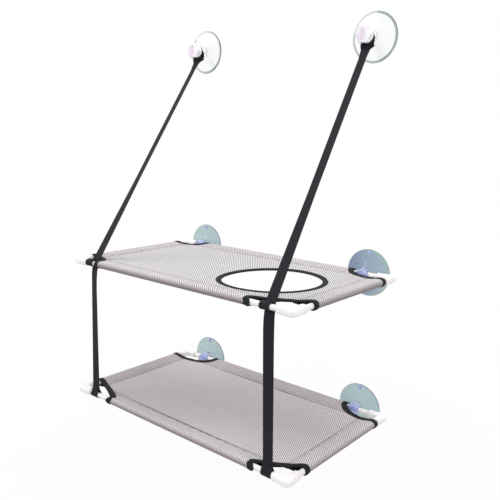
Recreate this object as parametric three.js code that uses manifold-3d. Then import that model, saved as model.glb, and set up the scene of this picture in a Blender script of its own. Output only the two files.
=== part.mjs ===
// Two-tier window perch for a cat: two mesh slings in tube frames, held on the glass by six
// suction cups and hung from the top two by webbing straps.
// Millimetres, +Z up, +Y into the window. The origin is on the glass, midway between the two
// sides, at the height of the upper tier's tubes.
import * as THREE from "three";
import { mergeVertices } from "three/addons/utils/BufferGeometryUtils.js";
import Module from "manifold-3d";

const wasm = await Module();
wasm.setup();

// Frames: distances between tube axes, and the tube itself
const frameWidth = 532;
const frameDepth = 302;
const tierSpacing = 273;
const glassToTube = 19;
const tubeDiameter = 10;
const tubeWall = 1;

// Gap left between pieces that touch, and the overrun of a cutting solid past what it cuts
const seatGap = 0.3;
const overrun = 2;

// Moulded corner elbow: two arms from the crossing of the tube axes
const elbowReach = 27.5;
const elbowMouthWidth = 13.4;
const elbowRootWidth = 17;
const elbowHeight = 14.4;
const elbowEdge = 2.6;
const elbowFillet = 4;
const socketStop = 9;

// Mesh sling: cloth, the sleeve round each tube and the hem that closes it
const clothThickness = 1.2;
const sleeveWall = 1.5;
const hemWidth = 30;
const hemOverlap = 4;
const upperSeamHeight = 3.2;
const lowerSeamHeight = 1.6;
const upperSag = 5;
const lowerSag = 15;

// Corner cut-outs of the slings, from the crossing of the tube axes: the free edge meets the
// front or back tube at the first size and the side tube at the second
const upperFrontLeftCut = 57;
const upperFrontLeftCutDepth = 30;
const upperFrontRightCut = 86;
const upperFrontRightCutDepth = 48;
const upperBackRightCut = 78;
const upperBackRightCutDepth = 33;
const upperBackLeftCut = 60;
const upperBackLeftCutDepth = 33;
const lowerFrontLeftCut = 91;
const lowerFrontLeftCutDepth = 39;
const lowerFrontRightCut = 70;
const lowerFrontRightCutDepth = 43;
const lowerBackRightCut = 77;
const lowerBackRightCutDepth = 31;
const lowerBackLeftCut = 93;
const lowerBackLeftCutDepth = 36;

// How far a free edge bows out of a straight line, as a share of an oval's own bow
const ovalShare = 1;
const flatEdgeShare = 0.25;

// Binding tape folded over every cut edge
const tapeWidth = 9;
const tapeProud = 0.5;

// Round way up through the upper sling, measured to the outside of its binding
const holeRadius = 100;
const holeFromRight = 148;
const holeFromFront = 136;

// Suction cup: lip, skirt, hollow and neck, heights measured from the glass
const cupRadius = 45.4;
const cupLipWidth = 4;
const cupLipHeight = 0.9;
const cupHollow = 3.6;
const cupNeckStart = 13;
const cupNeckFillet = 4;
const cupNeckRadius = 11.5;
const cupNeckLength = 17;
const cupNeckRound = 3;
const nubRadius = 2.2;
const nubHeight = 4;
const nubFromRim = 6;

// How far each cup's middle stands in from the side tube's axis on its side
const upperLeftCupInset = 43.5;
const upperRightCupInset = 58;
const lowerLeftCupInset = 59;
const lowerRightCupInset = 61;
const topLeftCupInset = 37;
const topRightCupInset = 72;

// Top suction cups, whose straight neck takes the strap and whose stud takes the hand nut
const topCupHeight = 432.5;
const topNeckRadius = 10.5;
const topNeckLength = 16;
const studRadius = 4;
const studBury = 15;
const studProud = 13;

// Collar behind the hand nut, and the lobed hand nut
const collarRadius = 13.7;
const collarLength = 5.5;
const collarEdge = 1;
const nutRadius = 17.3;
const nutLobeDepth = 2.6;
const nutLobes = 6;
const nutLength = 9.5;
const nutEdge = 1.5;
const nutFloor = 2;

// Webbing of the straps
const webbingWidth = 20;
const webbingThickness = 1.4;
const gatheredWidth = 12;
const leftStrapInset = 41;
const rightStrapInset = 42.5;
const leftWrapInset = 38;
const rightWrapInset = 51.5;
const topLoopTail = 24;
const tubeLoopTail = 16;

// Lie of a slanting strap: share of its length, of a quarter turn, and of its gathering
const strapShares = [
  [0, 0, 0],
  [0.15, -0.08, 0],
  [0.4, -0.22, 0],
  [0.85, -0.22, 0],
  [0.93, -0.1, 0.1],
  [1, 1, 1],
];

// Places worked out from the dimensions above
const halfWidth = frameWidth / 2;
const tubeRadius = tubeDiameter / 2;
const boreRadius = tubeRadius + seatGap;
const sleeveRadius = boreRadius + sleeveWall;
const wrapRadius = boreRadius + webbingThickness;
const topLoopRadius = topNeckRadius + seatGap;
const studBore = studRadius + seatGap;
const topNeckEnd = cupNeckStart + topNeckLength;
const topLoopMiddle = topNeckEnd - seatGap - gatheredWidth / 2;
const frontY = -glassToTube - frameDepth;
const leftStrapX = leftStrapInset - halfWidth;
const rightStrapX = halfWidth - rightStrapInset;
const leftWrapX = leftWrapInset - halfWidth;
const rightWrapX = halfWidth - rightWrapInset;
const topLeftX = topLeftCupInset - halfWidth;
const topRightX = halfWidth - topRightCupInset;

// Numbers of flat faces that stand for a round one
const tubeSides = 12;
const lipSides = 24;
const nutSides = 36;
const cutSides = 28;
const holeSides = 44;
const strapSteps = 20;
const sleeveSteps = 5;
const loopSteps = 10;
const panelStepsAcross = 10;
const panelStepsDeep = 6;

const finishes = {
  tube: new THREE.MeshStandardMaterial({ color: 0xf1eeec, roughness: 0.35, metalness: 0 }),
  elbow: new THREE.MeshStandardMaterial({ color: 0xf3efee, roughness: 0.42, metalness: 0 }),
  mesh: new THREE.MeshStandardMaterial({ color: 0xcfc9c6, roughness: 0.85, metalness: 0 }),
  tape: new THREE.MeshStandardMaterial({ color: 0x2f3134, roughness: 0.9, metalness: 0 }),
  webbing: new THREE.MeshStandardMaterial({ color: 0x34363b, roughness: 0.88, metalness: 0 }),
  cup: new THREE.MeshStandardMaterial({
    color: 0xa9c0c4,
    roughness: 0.15,
    metalness: 0,
    transparent: true,
    opacity: 0.5,
  }),
  stud: new THREE.MeshStandardMaterial({ color: 0xb9bcc0, roughness: 0.3, metalness: 1 }),
  nut: new THREE.MeshStandardMaterial({ color: 0xf4f2f1, roughness: 0.3, metalness: 0 }),
};

// A closed geometry as a solid that can be joined and cut
function solidOf(geometry) {
  const bare = new THREE.BufferGeometry();
  const flat = geometry.index ? geometry.toNonIndexed() : geometry;
  bare.setAttribute("position", flat.getAttribute("position"));
  const merged = mergeVertices(bare);
  return new wasm.Manifold(
    new wasm.Mesh({
      numProp: 3,
      vertProperties: merged.getAttribute("position").array,
      triVerts: new Uint32Array(merged.index.array),
    }),
  );
}

function geometryOf(solid) {
  const cut = solid.getMesh();
  const geometry = new THREE.BufferGeometry();
  geometry.setAttribute("position", new THREE.BufferAttribute(cut.vertProperties, cut.numProp));
  geometry.setIndex(new THREE.BufferAttribute(cut.triVerts, 1));
  const faceted = geometry.toNonIndexed();
  faceted.computeVertexNormals();
  return faceted;
}

function addPiece(parent, name, geometry, finish) {
  const mesh = new THREE.Mesh(geometry, finish);
  mesh.name = name;
  parent.add(mesh);
  return mesh;
}

const right = new THREE.Vector3(1, 0, 0);
const inward = new THREE.Vector3(0, 1, 0);
const up = new THREE.Vector3(0, 0, 1);

// Turns a shape drawn in its own X and Y so that they lie along two given directions
function turned(geometry, along, across) {
  const through = new THREE.Vector3().crossVectors(along, across);
  return geometry.applyMatrix4(new THREE.Matrix4().makeBasis(along, across, through));
}

// A rod with its middle at the origin, lying along one of the frame's two directions
function rod(radius, length, sides, lengthways) {
  const geometry = new THREE.CylinderGeometry(radius, radius, length, sides);
  if (lengthways) geometry.rotateZ(-Math.PI / 2);
  return geometry;
}

// A ring or tube turned from a closed outline, its axis along X
function turnedRing(innerRadius, outerRadius, length, sides) {
  const half = length / 2;
  const outline = [
    new THREE.Vector2(innerRadius, half),
    new THREE.Vector2(innerRadius, -half),
    new THREE.Vector2(outerRadius, -half),
    new THREE.Vector2(outerRadius, half),
    new THREE.Vector2(innerRadius, half),
  ];
  return new THREE.LatheGeometry(outline, sides).rotateZ(-Math.PI / 2);
}

// The L of one elbow, its arms along +X and +Y, with sockets for two tubes
function elbowGeometry() {
  const root = elbowRootWidth / 2;
  const mouth = elbowMouthWidth / 2;
  const outline = new THREE.Shape();
  outline.moveTo(elbowReach, -mouth);
  outline.lineTo(elbowReach, mouth);
  outline.lineTo(root + elbowFillet, root);
  outline.quadraticCurveTo(root, root, root, root + elbowFillet);
  outline.lineTo(mouth, elbowReach);
  outline.lineTo(-mouth, elbowReach);
  outline.lineTo(-root, 0);
  outline.absarc(0, 0, root, Math.PI, Math.PI * 1.5, false);
  const block = new THREE.ExtrudeGeometry(outline, {
    depth: elbowHeight - 2 * elbowEdge,
    bevelThickness: elbowEdge,
    bevelSize: elbowEdge,
    bevelOffset: -elbowEdge,
    bevelSegments: 1,
    curveSegments: 4,
  });
  block.translate(0, 0, elbowEdge - elbowHeight / 2);
  const socketLength = elbowReach + overrun - socketStop;
  const socketMiddle = socketStop + socketLength / 2;
  const first = rod(boreRadius, socketLength, tubeSides, true).translate(socketMiddle, 0, 0);
  const second = rod(boreRadius, socketLength, tubeSides, false).translate(0, socketMiddle, 0);
  return geometryOf(solidOf(block).subtract(solidOf(first)).subtract(solidOf(second)));
}

// Cross-section of a sleeve: round the tube, then two plies that meet at the hem's seam
function sleeveOutline(radius, plies, seamHeight) {
  const leaving = Math.PI * 0.46;
  const outline = new THREE.Shape();
  outline.absarc(0, 0, radius, leaving, 2 * Math.PI - leaving, false);
  outline.lineTo(hemWidth, seamHeight - plies);
  outline.lineTo(hemWidth, seamHeight + plies);
  outline.closePath();
  return outline;
}

// Sleeves on four sides and the sagging panel between them, before any cut-out.
// The extra thickness is nothing for the cloth and the tape's own for the bindings.
function slingBody(seamHeight, sag, extra) {
  const plies = clothThickness + extra;
  const section = sleeveOutline(sleeveRadius + extra, plies, seamHeight);
  const sleeve = (length, facing, offset) => {
    const geometry = new THREE.ExtrudeGeometry(section, {
      depth: length,
      bevelEnabled: false,
      curveSegments: sleeveSteps,
    });
    geometry.translate(0, 0, -length / 2);
    return solidOf(turned(geometry, facing, up).translate(offset.x, offset.y, offset.z));
  };
  const middle = -frameDepth / 2;
  const back = sleeve(frameWidth, inward.clone().negate(), new THREE.Vector3());
  const front = sleeve(frameWidth, inward, new THREE.Vector3(0, -frameDepth, 0));
  const left = sleeve(frameDepth, right, new THREE.Vector3(-halfWidth, middle, 0));
  const rightSide = right.clone().negate();
  const rightSleeve = sleeve(frameDepth, rightSide, new THREE.Vector3(halfWidth, middle, 0));

  const edge = hemWidth - hemOverlap;
  const across = frameWidth - 2 * edge;
  const deep = frameDepth - 2 * edge;
  const thickness = clothThickness + 2 * extra;
  const panel = new THREE.BoxGeometry(across, deep, thickness, panelStepsAcross, panelStepsDeep, 1);
  const point = panel.getAttribute("position");
  for (let i = 0; i < point.count; i += 1) {
    const u = (2 * point.getX(i)) / across;
    const v = (2 * point.getY(i)) / deep;
    const drop = sag * (1 - u * u) * (1 - v * v);
    point.setZ(i, point.getZ(i) + seamHeight - drop);
  }
  panel.translate(0, middle, 0);
  return [front, left, rightSleeve, solidOf(panel)].reduce((all, one) => all.add(one), back);
}

// An upright cutter round a point of the tier. Its outline bows between a diamond's straight
// sides and an oval, and is grown by the same distance all round.
function edgeCutter(halfAcross, halfDeep, bowShare, grownBy, x, y, sides) {
  const power = 2 / (1 + bowShare);
  const signed = (value, exponent) => Math.sign(value) * Math.abs(value) ** exponent;
  const points = [];
  for (let i = 0; i < sides; i += 1) {
    const angle = (2 * Math.PI * i) / sides;
    const across = Math.cos(angle);
    const deep = Math.sin(angle);
    const normal = new THREE.Vector2(
      signed(across, 2 - power) / halfAcross,
      signed(deep, 2 - power) / halfDeep,
    ).normalize();
    const edge = new THREE.Vector2(
      signed(across, power) * halfAcross,
      signed(deep, power) * halfDeep,
    );
    points.push(edge.addScaledVector(normal, grownBy));
  }
  const height = 2 * (sleeveRadius + tapeProud + lowerSag + overrun);
  const shape = new THREE.Shape(points);
  const geometry = new THREE.ExtrudeGeometry(shape, { depth: height, bevelEnabled: false });
  return solidOf(geometry.translate(x, y, -height / 2));
}

const corners = [
  { name: "front_left", side: -1, y: -frameDepth, turn: 0 },
  { name: "front_right", side: 1, y: -frameDepth, turn: Math.PI / 2 },
  { name: "back_right", side: 1, y: 0, turn: Math.PI },
  { name: "back_left", side: -1, y: 0, turn: -Math.PI / 2 },
];

// One tier, its own origin at the middle of the back tube's axis
function addTier(parent, tier) {
  const group = new THREE.Group();
  group.position.set(0, -glassToTube, tier.height);
  parent.add(group);

  const acrossLength = frameWidth - 2 * (socketStop + seatGap);
  const deepLength = frameDepth - 2 * (socketStop + seatGap);
  const innerTube = tubeRadius - tubeWall;
  const acrossTube = turnedRing(innerTube, tubeRadius, acrossLength, tubeSides);
  const deepTube = turnedRing(innerTube, tubeRadius, deepLength, tubeSides).rotateZ(Math.PI / 2);
  addPiece(group, tier.name + "_back_tube", acrossTube, finishes.tube);
  const frontTube = addPiece(group, tier.name + "_front_tube", acrossTube, finishes.tube);
  frontTube.position.y = -frameDepth;
  const leftTube = addPiece(group, tier.name + "_left_tube", deepTube, finishes.tube);
  leftTube.position.set(-halfWidth, -frameDepth / 2, 0);
  const rightTube = addPiece(group, tier.name + "_right_tube", deepTube, finishes.tube);
  rightTube.position.set(halfWidth, -frameDepth / 2, 0);

  const elbow = elbowGeometry();
  for (const corner of corners) {
    const piece = addPiece(group, tier.name + "_" + corner.name + "_elbow", elbow, finishes.elbow);
    piece.position.set(corner.side * halfWidth, corner.y, 0);
    piece.rotation.z = corner.turn;
  }

  // Ways for the four tubes through the sleeves
  const ways = [0, -frameDepth].map((y) =>
    solidOf(rod(boreRadius, frameWidth + overrun, tubeSides, true).translate(0, y, 0)),
  );
  for (const side of [-1, 1]) {
    const way = rod(boreRadius, frameDepth + overrun, tubeSides, false);
    ways.push(solidOf(way.translate(side * halfWidth, -frameDepth / 2, 0)));
  }
  const withoutTubes = (body) => ways.reduce((rest, way) => rest.subtract(way), body);

  let sling = withoutTubes(slingBody(tier.seamHeight, tier.sag, 0));
  const taped = withoutTubes(slingBody(tier.seamHeight, tier.sag, tapeProud));
  const clear = tapeWidth + seatGap;
  for (const corner of corners) {
    const [cut, depth, bowShare] = tier.cuts[corner.name];
    const x = corner.side * halfWidth;
    const grown = (by) => edgeCutter(cut, depth, bowShare, by, x, corner.y, cutSides);
    sling = sling.subtract(grown(clear));
    const binding = taped.intersect(grown(tapeWidth)).subtract(grown(0));
    const name = tier.name + "_" + corner.name + "_binding";
    addPiece(group, name, geometryOf(binding), finishes.tape);
  }
  if (tier.hasHole) {
    const y = holeFromFront - frameDepth;
    const x = halfWidth - holeFromRight;
    const inner = holeRadius - tapeWidth;
    const grown = (by) => edgeCutter(inner, inner, ovalShare, by, x, y, holeSides);
    sling = sling.subtract(grown(clear));
    const ring = taped.intersect(grown(tapeWidth)).subtract(grown(0));
    addPiece(group, tier.name + "_hole_binding", geometryOf(ring), finishes.tape);
  }
  addPiece(group, tier.name + "_sling", geometryOf(sling), finishes.mesh);
}

// Outline of a suction cup from the middle of its hollow, out over the lip and up the neck
function cupOutline(neckRadius, neckLength, neckRound) {
  const lipInside = cupRadius - cupLipWidth;
  const skirtRun = cupRadius - neckRadius - cupNeckFillet;
  const skirtRise = cupNeckStart - cupNeckFillet - cupLipHeight;
  const outline = [new THREE.Vector2(0, cupHollow)];
  for (const share of [0.45, 0.8]) {
    outline.push(new THREE.Vector2(lipInside * share, cupHollow * (1 - share * share)));
  }
  outline.push(new THREE.Vector2(lipInside, 0));
  outline.push(new THREE.Vector2(cupRadius, 0));
  for (const share of [0, 0.25, 0.55, 0.8, 1]) {
    const rise = cupLipHeight + skirtRise * (0.62 * share + 0.38 * share * share);
    outline.push(new THREE.Vector2(cupRadius - skirtRun * share, rise));
  }
  outline.push(new THREE.Vector2(neckRadius + cupNeckFillet / 4, cupNeckStart - cupNeckFillet / 4));
  outline.push(new THREE.Vector2(neckRadius, cupNeckStart + cupNeckFillet / 4));
  const end = cupNeckStart + neckLength;
  outline.push(new THREE.Vector2(neckRadius, end - neckRound));
  outline.push(new THREE.Vector2(neckRadius - neckRound * 0.3, end - neckRound * 0.3));
  outline.push(new THREE.Vector2(neckRadius - neckRound, end));
  outline.push(new THREE.Vector2(0, end));
  return outline;
}

// A piece turned round the cup's axis, which is its own +Z, pointing into the room
function turnedPiece(outline, sides) {
  return new THREE.LatheGeometry(outline, sides).rotateX(Math.PI / 2);
}

// A place on the glass: X stays, its own Y is up and its own Z points into the room
function placeOnGlass(parent, x, z) {
  const group = new THREE.Group();
  group.position.set(x, 0, z);
  group.rotation.x = Math.PI / 2;
  parent.add(group);
  return group;
}

// A cup whose neck is bored crossways for the back tube, with a release nub by the rim
function addTubeCup(parent, name, x, z) {
  const cup = solidOf(turnedPiece(cupOutline(cupNeckRadius, cupNeckLength, cupNeckRound), lipSides));
  const bore = rod(boreRadius, 2 * (cupNeckRadius + overrun), tubeSides, true);
  bore.translate(0, 0, glassToTube);
  const nub = new THREE.CylinderGeometry(nubRadius, nubRadius, nubHeight, tubeSides / 2);
  nub.rotateX(Math.PI / 2).translate(0, cupRadius - nubFromRim, cupLipHeight + nubHeight / 2);
  const group = placeOnGlass(parent, x, z);
  const finished = cup.add(solidOf(nub)).subtract(solidOf(bore));
  addPiece(group, name, geometryOf(finished), finishes.cup);
}

// Outline of the lobed hand nut, seen along its axis
function nutOutline() {
  const outline = new THREE.Shape();
  const points = [];
  for (let i = 0; i < nutSides; i += 1) {
    const angle = (2 * Math.PI * i) / nutSides;
    const radius = nutRadius - (nutLobeDepth * (1 - Math.cos(nutLobes * angle))) / 2;
    points.push(new THREE.Vector2(radius * Math.cos(angle), radius * Math.sin(angle)));
  }
  outline.setFromPoints(points);
  return outline;
}

// A top cup with its stud, the collar that traps the strap, and the hand nut
function addTopCup(parent, name, x) {
  const group = placeOnGlass(parent, x, topCupHeight);
  const end = topNeckEnd;
  const cup = solidOf(turnedPiece(cupOutline(topNeckRadius, topNeckLength, collarEdge), lipSides));
  const pocketLength = studBury + seatGap + overrun;
  const pocket = new THREE.CylinderGeometry(studBore, studBore, pocketLength, tubeSides);
  pocket.rotateX(Math.PI / 2).translate(0, 0, end + overrun - pocketLength / 2);
  addPiece(group, name + "_cup", geometryOf(cup.subtract(solidOf(pocket))), finishes.cup);

  const studLength = studBury + studProud;
  const stud = new THREE.CylinderGeometry(studRadius, studRadius, studLength, tubeSides);
  stud.rotateX(Math.PI / 2).translate(0, 0, end + studProud - studLength / 2);
  addPiece(group, name + "_stud", stud, finishes.stud);

  const collarBack = end + seatGap;
  const collar = turnedPiece(
    [
      new THREE.Vector2(studBore, collarLength),
      new THREE.Vector2(studBore, 0),
      new THREE.Vector2(collarRadius - collarEdge, 0),
      new THREE.Vector2(collarRadius, collarEdge),
      new THREE.Vector2(collarRadius, collarLength - collarEdge),
      new THREE.Vector2(collarRadius - collarEdge, collarLength),
      new THREE.Vector2(studBore, collarLength),
    ],
    lipSides,
  );
  addPiece(group, name + "_collar", collar.translate(0, 0, collarBack), finishes.nut);

  const nutBack = collarBack + collarLength + seatGap;
  const head = new THREE.ExtrudeGeometry(nutOutline(), {
    depth: nutLength - 2 * nutEdge,
    bevelThickness: nutEdge,
    bevelSize: nutEdge,
    bevelOffset: -nutEdge,
    bevelSegments: 1,
  });
  head.translate(0, 0, nutBack + nutEdge);
  const boreLength = nutLength - nutFloor + overrun;
  const bore = new THREE.CylinderGeometry(studBore, studBore, boreLength, tubeSides);
  bore.rotateX(Math.PI / 2).translate(0, 0, nutBack - overrun + boreLength / 2);
  const nut = solidOf(head).subtract(solidOf(bore));
  addPiece(group, name + "_hand_nut", geometryOf(nut), finishes.nut);
}

// A loop of webbing in its own XY plane: round the origin, its two plies joined at the tail above
function loopGeometry(innerRadius, tail, width) {
  const drop = (path, radius, tip, halfTip) => {
    const leaving = Math.acos(radius / tip);
    path.moveTo(halfTip, tip);
    path.lineTo(-halfTip, tip);
    path.absarc(0, 0, radius, Math.PI / 2 + leaving, Math.PI / 2 - leaving + 2 * Math.PI, false);
    path.closePath();
    return path;
  };
  const outline = drop(new THREE.Shape(), innerRadius + webbingThickness, tail, webbingThickness);
  const tip = tail - 2 * webbingThickness;
  outline.holes.push(drop(new THREE.Path(), innerRadius, tip, webbingThickness / 8));
  const geometry = new THREE.ExtrudeGeometry(outline, {
    depth: width,
    bevelEnabled: false,
    curveSegments: loopSteps,
  });
  return geometry.translate(0, 0, -width / 2);
}

// The turn and the gathering of a slanting strap at a share of its length
function lieOf(share) {
  const next = Math.max(strapShares.findIndex((row) => row[0] >= share), 1);
  const [start, startTurn, startGather] = strapShares[next - 1];
  const [end, endTurn, endGather] = strapShares[next];
  const part = (share - start) / (end - start);
  return {
    turn: THREE.MathUtils.lerp(startTurn, endTurn, part) * (Math.PI / 2),
    gather: THREE.MathUtils.lerp(startGather, endGather, part),
  };
}

// A slanting strap between two points: it leaves the lower one lying along X, and gathers and
// turns just below the upper one, where it lies along Y. Its rows crowd towards that end.
function slantWebbing(low, high) {
  const geometry = new THREE.BoxGeometry(1, 1, 1, 1, 1, strapSteps);
  const point = geometry.getAttribute("position");
  const run = new THREE.Vector3().subVectors(high, low);
  const along = run.clone().normalize();
  for (let i = 0; i < point.count; i += 1) {
    const share = 1 - (1 / 2 - point.getZ(i)) ** 2;
    const lie = lieOf(share);
    const width = THREE.MathUtils.lerp(webbingWidth, gatheredWidth, lie.gather);
    const across = new THREE.Vector3(Math.cos(lie.turn), Math.sin(lie.turn), 0);
    const normal = new THREE.Vector3().crossVectors(along, across).normalize();
    const place = low.clone().addScaledVector(run, share);
    place.addScaledVector(across, width * point.getX(i));
    place.addScaledVector(normal, webbingThickness * point.getY(i));
    point.setXYZ(i, place.x, place.y, place.z);
  }
  return geometry;
}

// One side's webbing: loop on the top cup, slanting strap that comes down behind the upper front
// tube, turn round that tube, upright strap, and the loop under the lower front tube
function addStraps(parent, name, x, wrapX, topX) {
  const down = up.clone().negate();
  const topLoopShape = loopGeometry(topLoopRadius, topLoopTail, gatheredWidth);
  const topLoop = turned(topLoopShape, right.clone().negate(), down);
  topLoop.translate(topX, -topLoopMiddle, topCupHeight);
  addPiece(parent, name + "_top_loop", topLoop, finishes.webbing);

  const high = new THREE.Vector3(topX, -topLoopMiddle, topCupHeight - topLoopTail - seatGap);
  const tubeAxis = new THREE.Vector3(wrapX, frontY, 0);
  const rise = new THREE.Vector3().subVectors(high, tubeAxis);
  rise.x = 0;
  const outward = new THREE.Vector3().crossVectors(right, rise).normalize();
  const seat = wrapRadius + seatGap + webbingThickness / 2;
  const low = tubeAxis.clone().addScaledVector(outward, -seat);
  addPiece(parent, name + "_slant_strap", slantWebbing(low, high), finishes.webbing);

  const wrap = turnedRing(boreRadius, wrapRadius, webbingWidth, 2 * tubeSides);
  wrap.translate(wrapX, frontY, 0);
  addPiece(parent, name + "_tube_wrap", wrap, finishes.webbing);

  const dropTop = -wrapRadius - seatGap;
  const dropEnd = -tierSpacing + tubeLoopTail + seatGap;
  const dropLength = dropTop - dropEnd;
  const drop = new THREE.BoxGeometry(webbingWidth, webbingThickness, dropLength);
  drop.translate(x, frontY, (dropTop + dropEnd) / 2);
  addPiece(parent, name + "_upright_strap", drop, finishes.webbing);

  const tubeLoop = turned(loopGeometry(boreRadius, tubeLoopTail, webbingWidth), inward, up);
  tubeLoop.translate(x, frontY, -tierSpacing);
  addPiece(parent, name + "_tube_loop", tubeLoop, finishes.webbing);
}

const perch = new THREE.Group();

addTier(perch, {
  name: "upper",
  height: 0,
  seamHeight: upperSeamHeight,
  sag: upperSag,
  cuts: {
    front_left: [upperFrontLeftCut, upperFrontLeftCutDepth, ovalShare],
    front_right: [upperFrontRightCut, upperFrontRightCutDepth, flatEdgeShare],
    back_right: [upperBackRightCut, upperBackRightCutDepth, ovalShare],
    back_left: [upperBackLeftCut, upperBackLeftCutDepth, ovalShare],
  },
  hasHole: true,
});
addTier(perch, {
  name: "lower",
  height: -tierSpacing,
  seamHeight: lowerSeamHeight,
  sag: lowerSag,
  cuts: {
    front_left: [lowerFrontLeftCut, lowerFrontLeftCutDepth, flatEdgeShare],
    front_right: [lowerFrontRightCut, lowerFrontRightCutDepth, flatEdgeShare],
    back_right: [lowerBackRightCut, lowerBackRightCutDepth, ovalShare],
    back_left: [lowerBackLeftCut, lowerBackLeftCutDepth, ovalShare],
  },
  hasHole: false,
});

addTubeCup(perch, "upper_left_cup", upperLeftCupInset - halfWidth, 0);
addTubeCup(perch, "upper_right_cup", halfWidth - upperRightCupInset, 0);
addTubeCup(perch, "lower_left_cup", lowerLeftCupInset - halfWidth, -tierSpacing);
addTubeCup(perch, "lower_right_cup", halfWidth - lowerRightCupInset, -tierSpacing);
addTopCup(perch, "top_left", topLeftX);
addTopCup(perch, "top_right", topRightX);
addStraps(perch, "left", leftStrapX, leftWrapX, topLeftX);
addStraps(perch, "right", rightStrapX, rightWrapX, topRightX);

export default perch;
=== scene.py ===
# %% [markdown]
# # A two-tier window perch for a cat
#
# Two slings of open-weave mesh are stretched in frames of thin white tube. Six clear suction
# cups hold the frames on a window, and two straps of black webbing carry the front of both
# tiers from the top two cups. The glass is the plane Y = 0, +Y goes into the window, and the
# origin is midway between the sides at the height of the upper tier's tubes.
#
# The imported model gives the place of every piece. This lesson dresses each one: round what is
# round, stretch what is cloth, and give every surface the finish of the real one.

import math
from functools import partial

import bmesh
import bpy
import numpy as np
from mathutils import Matrix, Vector


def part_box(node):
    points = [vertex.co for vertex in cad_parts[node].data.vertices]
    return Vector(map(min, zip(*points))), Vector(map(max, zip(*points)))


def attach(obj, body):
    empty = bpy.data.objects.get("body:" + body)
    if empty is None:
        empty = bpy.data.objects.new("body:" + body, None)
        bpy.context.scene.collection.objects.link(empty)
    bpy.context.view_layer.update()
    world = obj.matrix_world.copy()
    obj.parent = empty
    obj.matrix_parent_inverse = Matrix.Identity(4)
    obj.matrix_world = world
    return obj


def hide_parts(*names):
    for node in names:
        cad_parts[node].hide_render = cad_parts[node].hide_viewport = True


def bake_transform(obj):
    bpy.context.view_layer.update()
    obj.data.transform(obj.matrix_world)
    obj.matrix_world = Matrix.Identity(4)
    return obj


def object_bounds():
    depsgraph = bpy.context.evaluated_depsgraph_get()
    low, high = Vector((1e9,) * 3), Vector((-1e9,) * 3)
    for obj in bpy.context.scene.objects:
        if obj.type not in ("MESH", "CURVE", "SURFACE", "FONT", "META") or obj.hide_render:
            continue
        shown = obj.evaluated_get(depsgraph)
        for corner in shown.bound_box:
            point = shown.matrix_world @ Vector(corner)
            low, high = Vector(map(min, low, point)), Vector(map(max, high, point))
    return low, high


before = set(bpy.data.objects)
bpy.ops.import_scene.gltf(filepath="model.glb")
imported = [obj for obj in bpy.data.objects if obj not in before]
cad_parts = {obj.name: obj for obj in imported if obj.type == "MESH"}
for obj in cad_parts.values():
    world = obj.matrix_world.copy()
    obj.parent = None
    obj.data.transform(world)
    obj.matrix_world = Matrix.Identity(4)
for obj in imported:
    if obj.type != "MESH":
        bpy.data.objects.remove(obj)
cad_box = [list(corner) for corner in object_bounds()]
MM = 0.001


def middle_of(name):
    """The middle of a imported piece's box, as an array."""
    low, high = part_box(name)
    return (np.array(low) + np.array(high)) / 2


TIERS, SIDES = ("upper", "lower"), ("left", "right")
TUBE_RADIUS = 5 * MM
HALF_WIDTH = float(middle_of("upper_right_tube")[0])
BACK_Y = float(middle_of("upper_back_tube")[1])
FRONT_Y = float(middle_of("upper_front_tube")[1])
MIDDLE_Y, HALF_DEPTH = (BACK_Y + FRONT_Y) / 2, (BACK_Y - FRONT_Y) / 2
TIER_Z = {tier: float(middle_of(tier + "_back_tube")[2]) for tier in TIERS}
print("half width", HALF_WIDTH, "back and front", BACK_Y, FRONT_Y, "tiers at", TIER_Z)

# %% [markdown]
# ## Small helpers
#
# Three jobs come back all through the lesson: turning a colour as a painter writes it into the
# linear numbers that the renderer adds up, placing one node with its settings and links, and
# making an object out of points and faces. Each gets one function, so that the cells after
# this one are only about the object. Each tree gets a node function of its own, which is
# add_node with that tree filled in.

# %% Colour, node and mesh helpers


def colour(code):
    """A colour written as #rrggbb, as the linear RGBA that sockets want."""
    channels = [int(code[i : i + 2], 16) / 255 for i in (1, 3, 5)]
    linear = [c / 12.92 if c <= 0.04045 else ((c + 0.055) / 1.055) ** 2.4 for c in channels]
    return (*linear, 1.0)


def add_node(tree, kind, inputs=(), out=0, **settings):
    """One node, by its kind and, after a space, its operation. Gives the output asked for.

    inputs are numbers, #rrggbb colours or sockets to link, in order or by key.
    """
    kind, *operation = kind.split()
    node = tree.nodes.new(kind if "Node" in kind else "ShaderNode" + kind)
    if operation:
        node.operation = operation[0]
    for name, value in settings.items():
        setattr(node, name, value)
    for key, value in inputs.items() if isinstance(inputs, dict) else enumerate(inputs):
        if isinstance(value, bpy.types.NodeSocket):
            tree.links.new(value, node.inputs[key])
        else:
            node.inputs[key].default_value = colour(value) if isinstance(value, str) else value
    return node.outputs[out] if node.outputs else node


# A Mix node of colours has its share at input 0, its colours at 6 and 7, and gives output 2
COLOURS = {"out": 2, "data_type": "RGBA"}


def new_material(name):
    """An empty node material, and the node function of its tree."""
    made = bpy.data.materials.new(name)
    made.use_nodes = True
    made.node_tree.nodes.clear()
    return made, partial(add_node, made.node_tree)


def finish_material(made, node, tone, normal, roughness, others):
    """Ends a material in a Principled shader with this surface."""
    surface = {"Base Color": tone, "Normal": normal, "Roughness": roughness, **others}
    node("OutputMaterial", (node("BsdfPrincipled", surface),))
    return made


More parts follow.
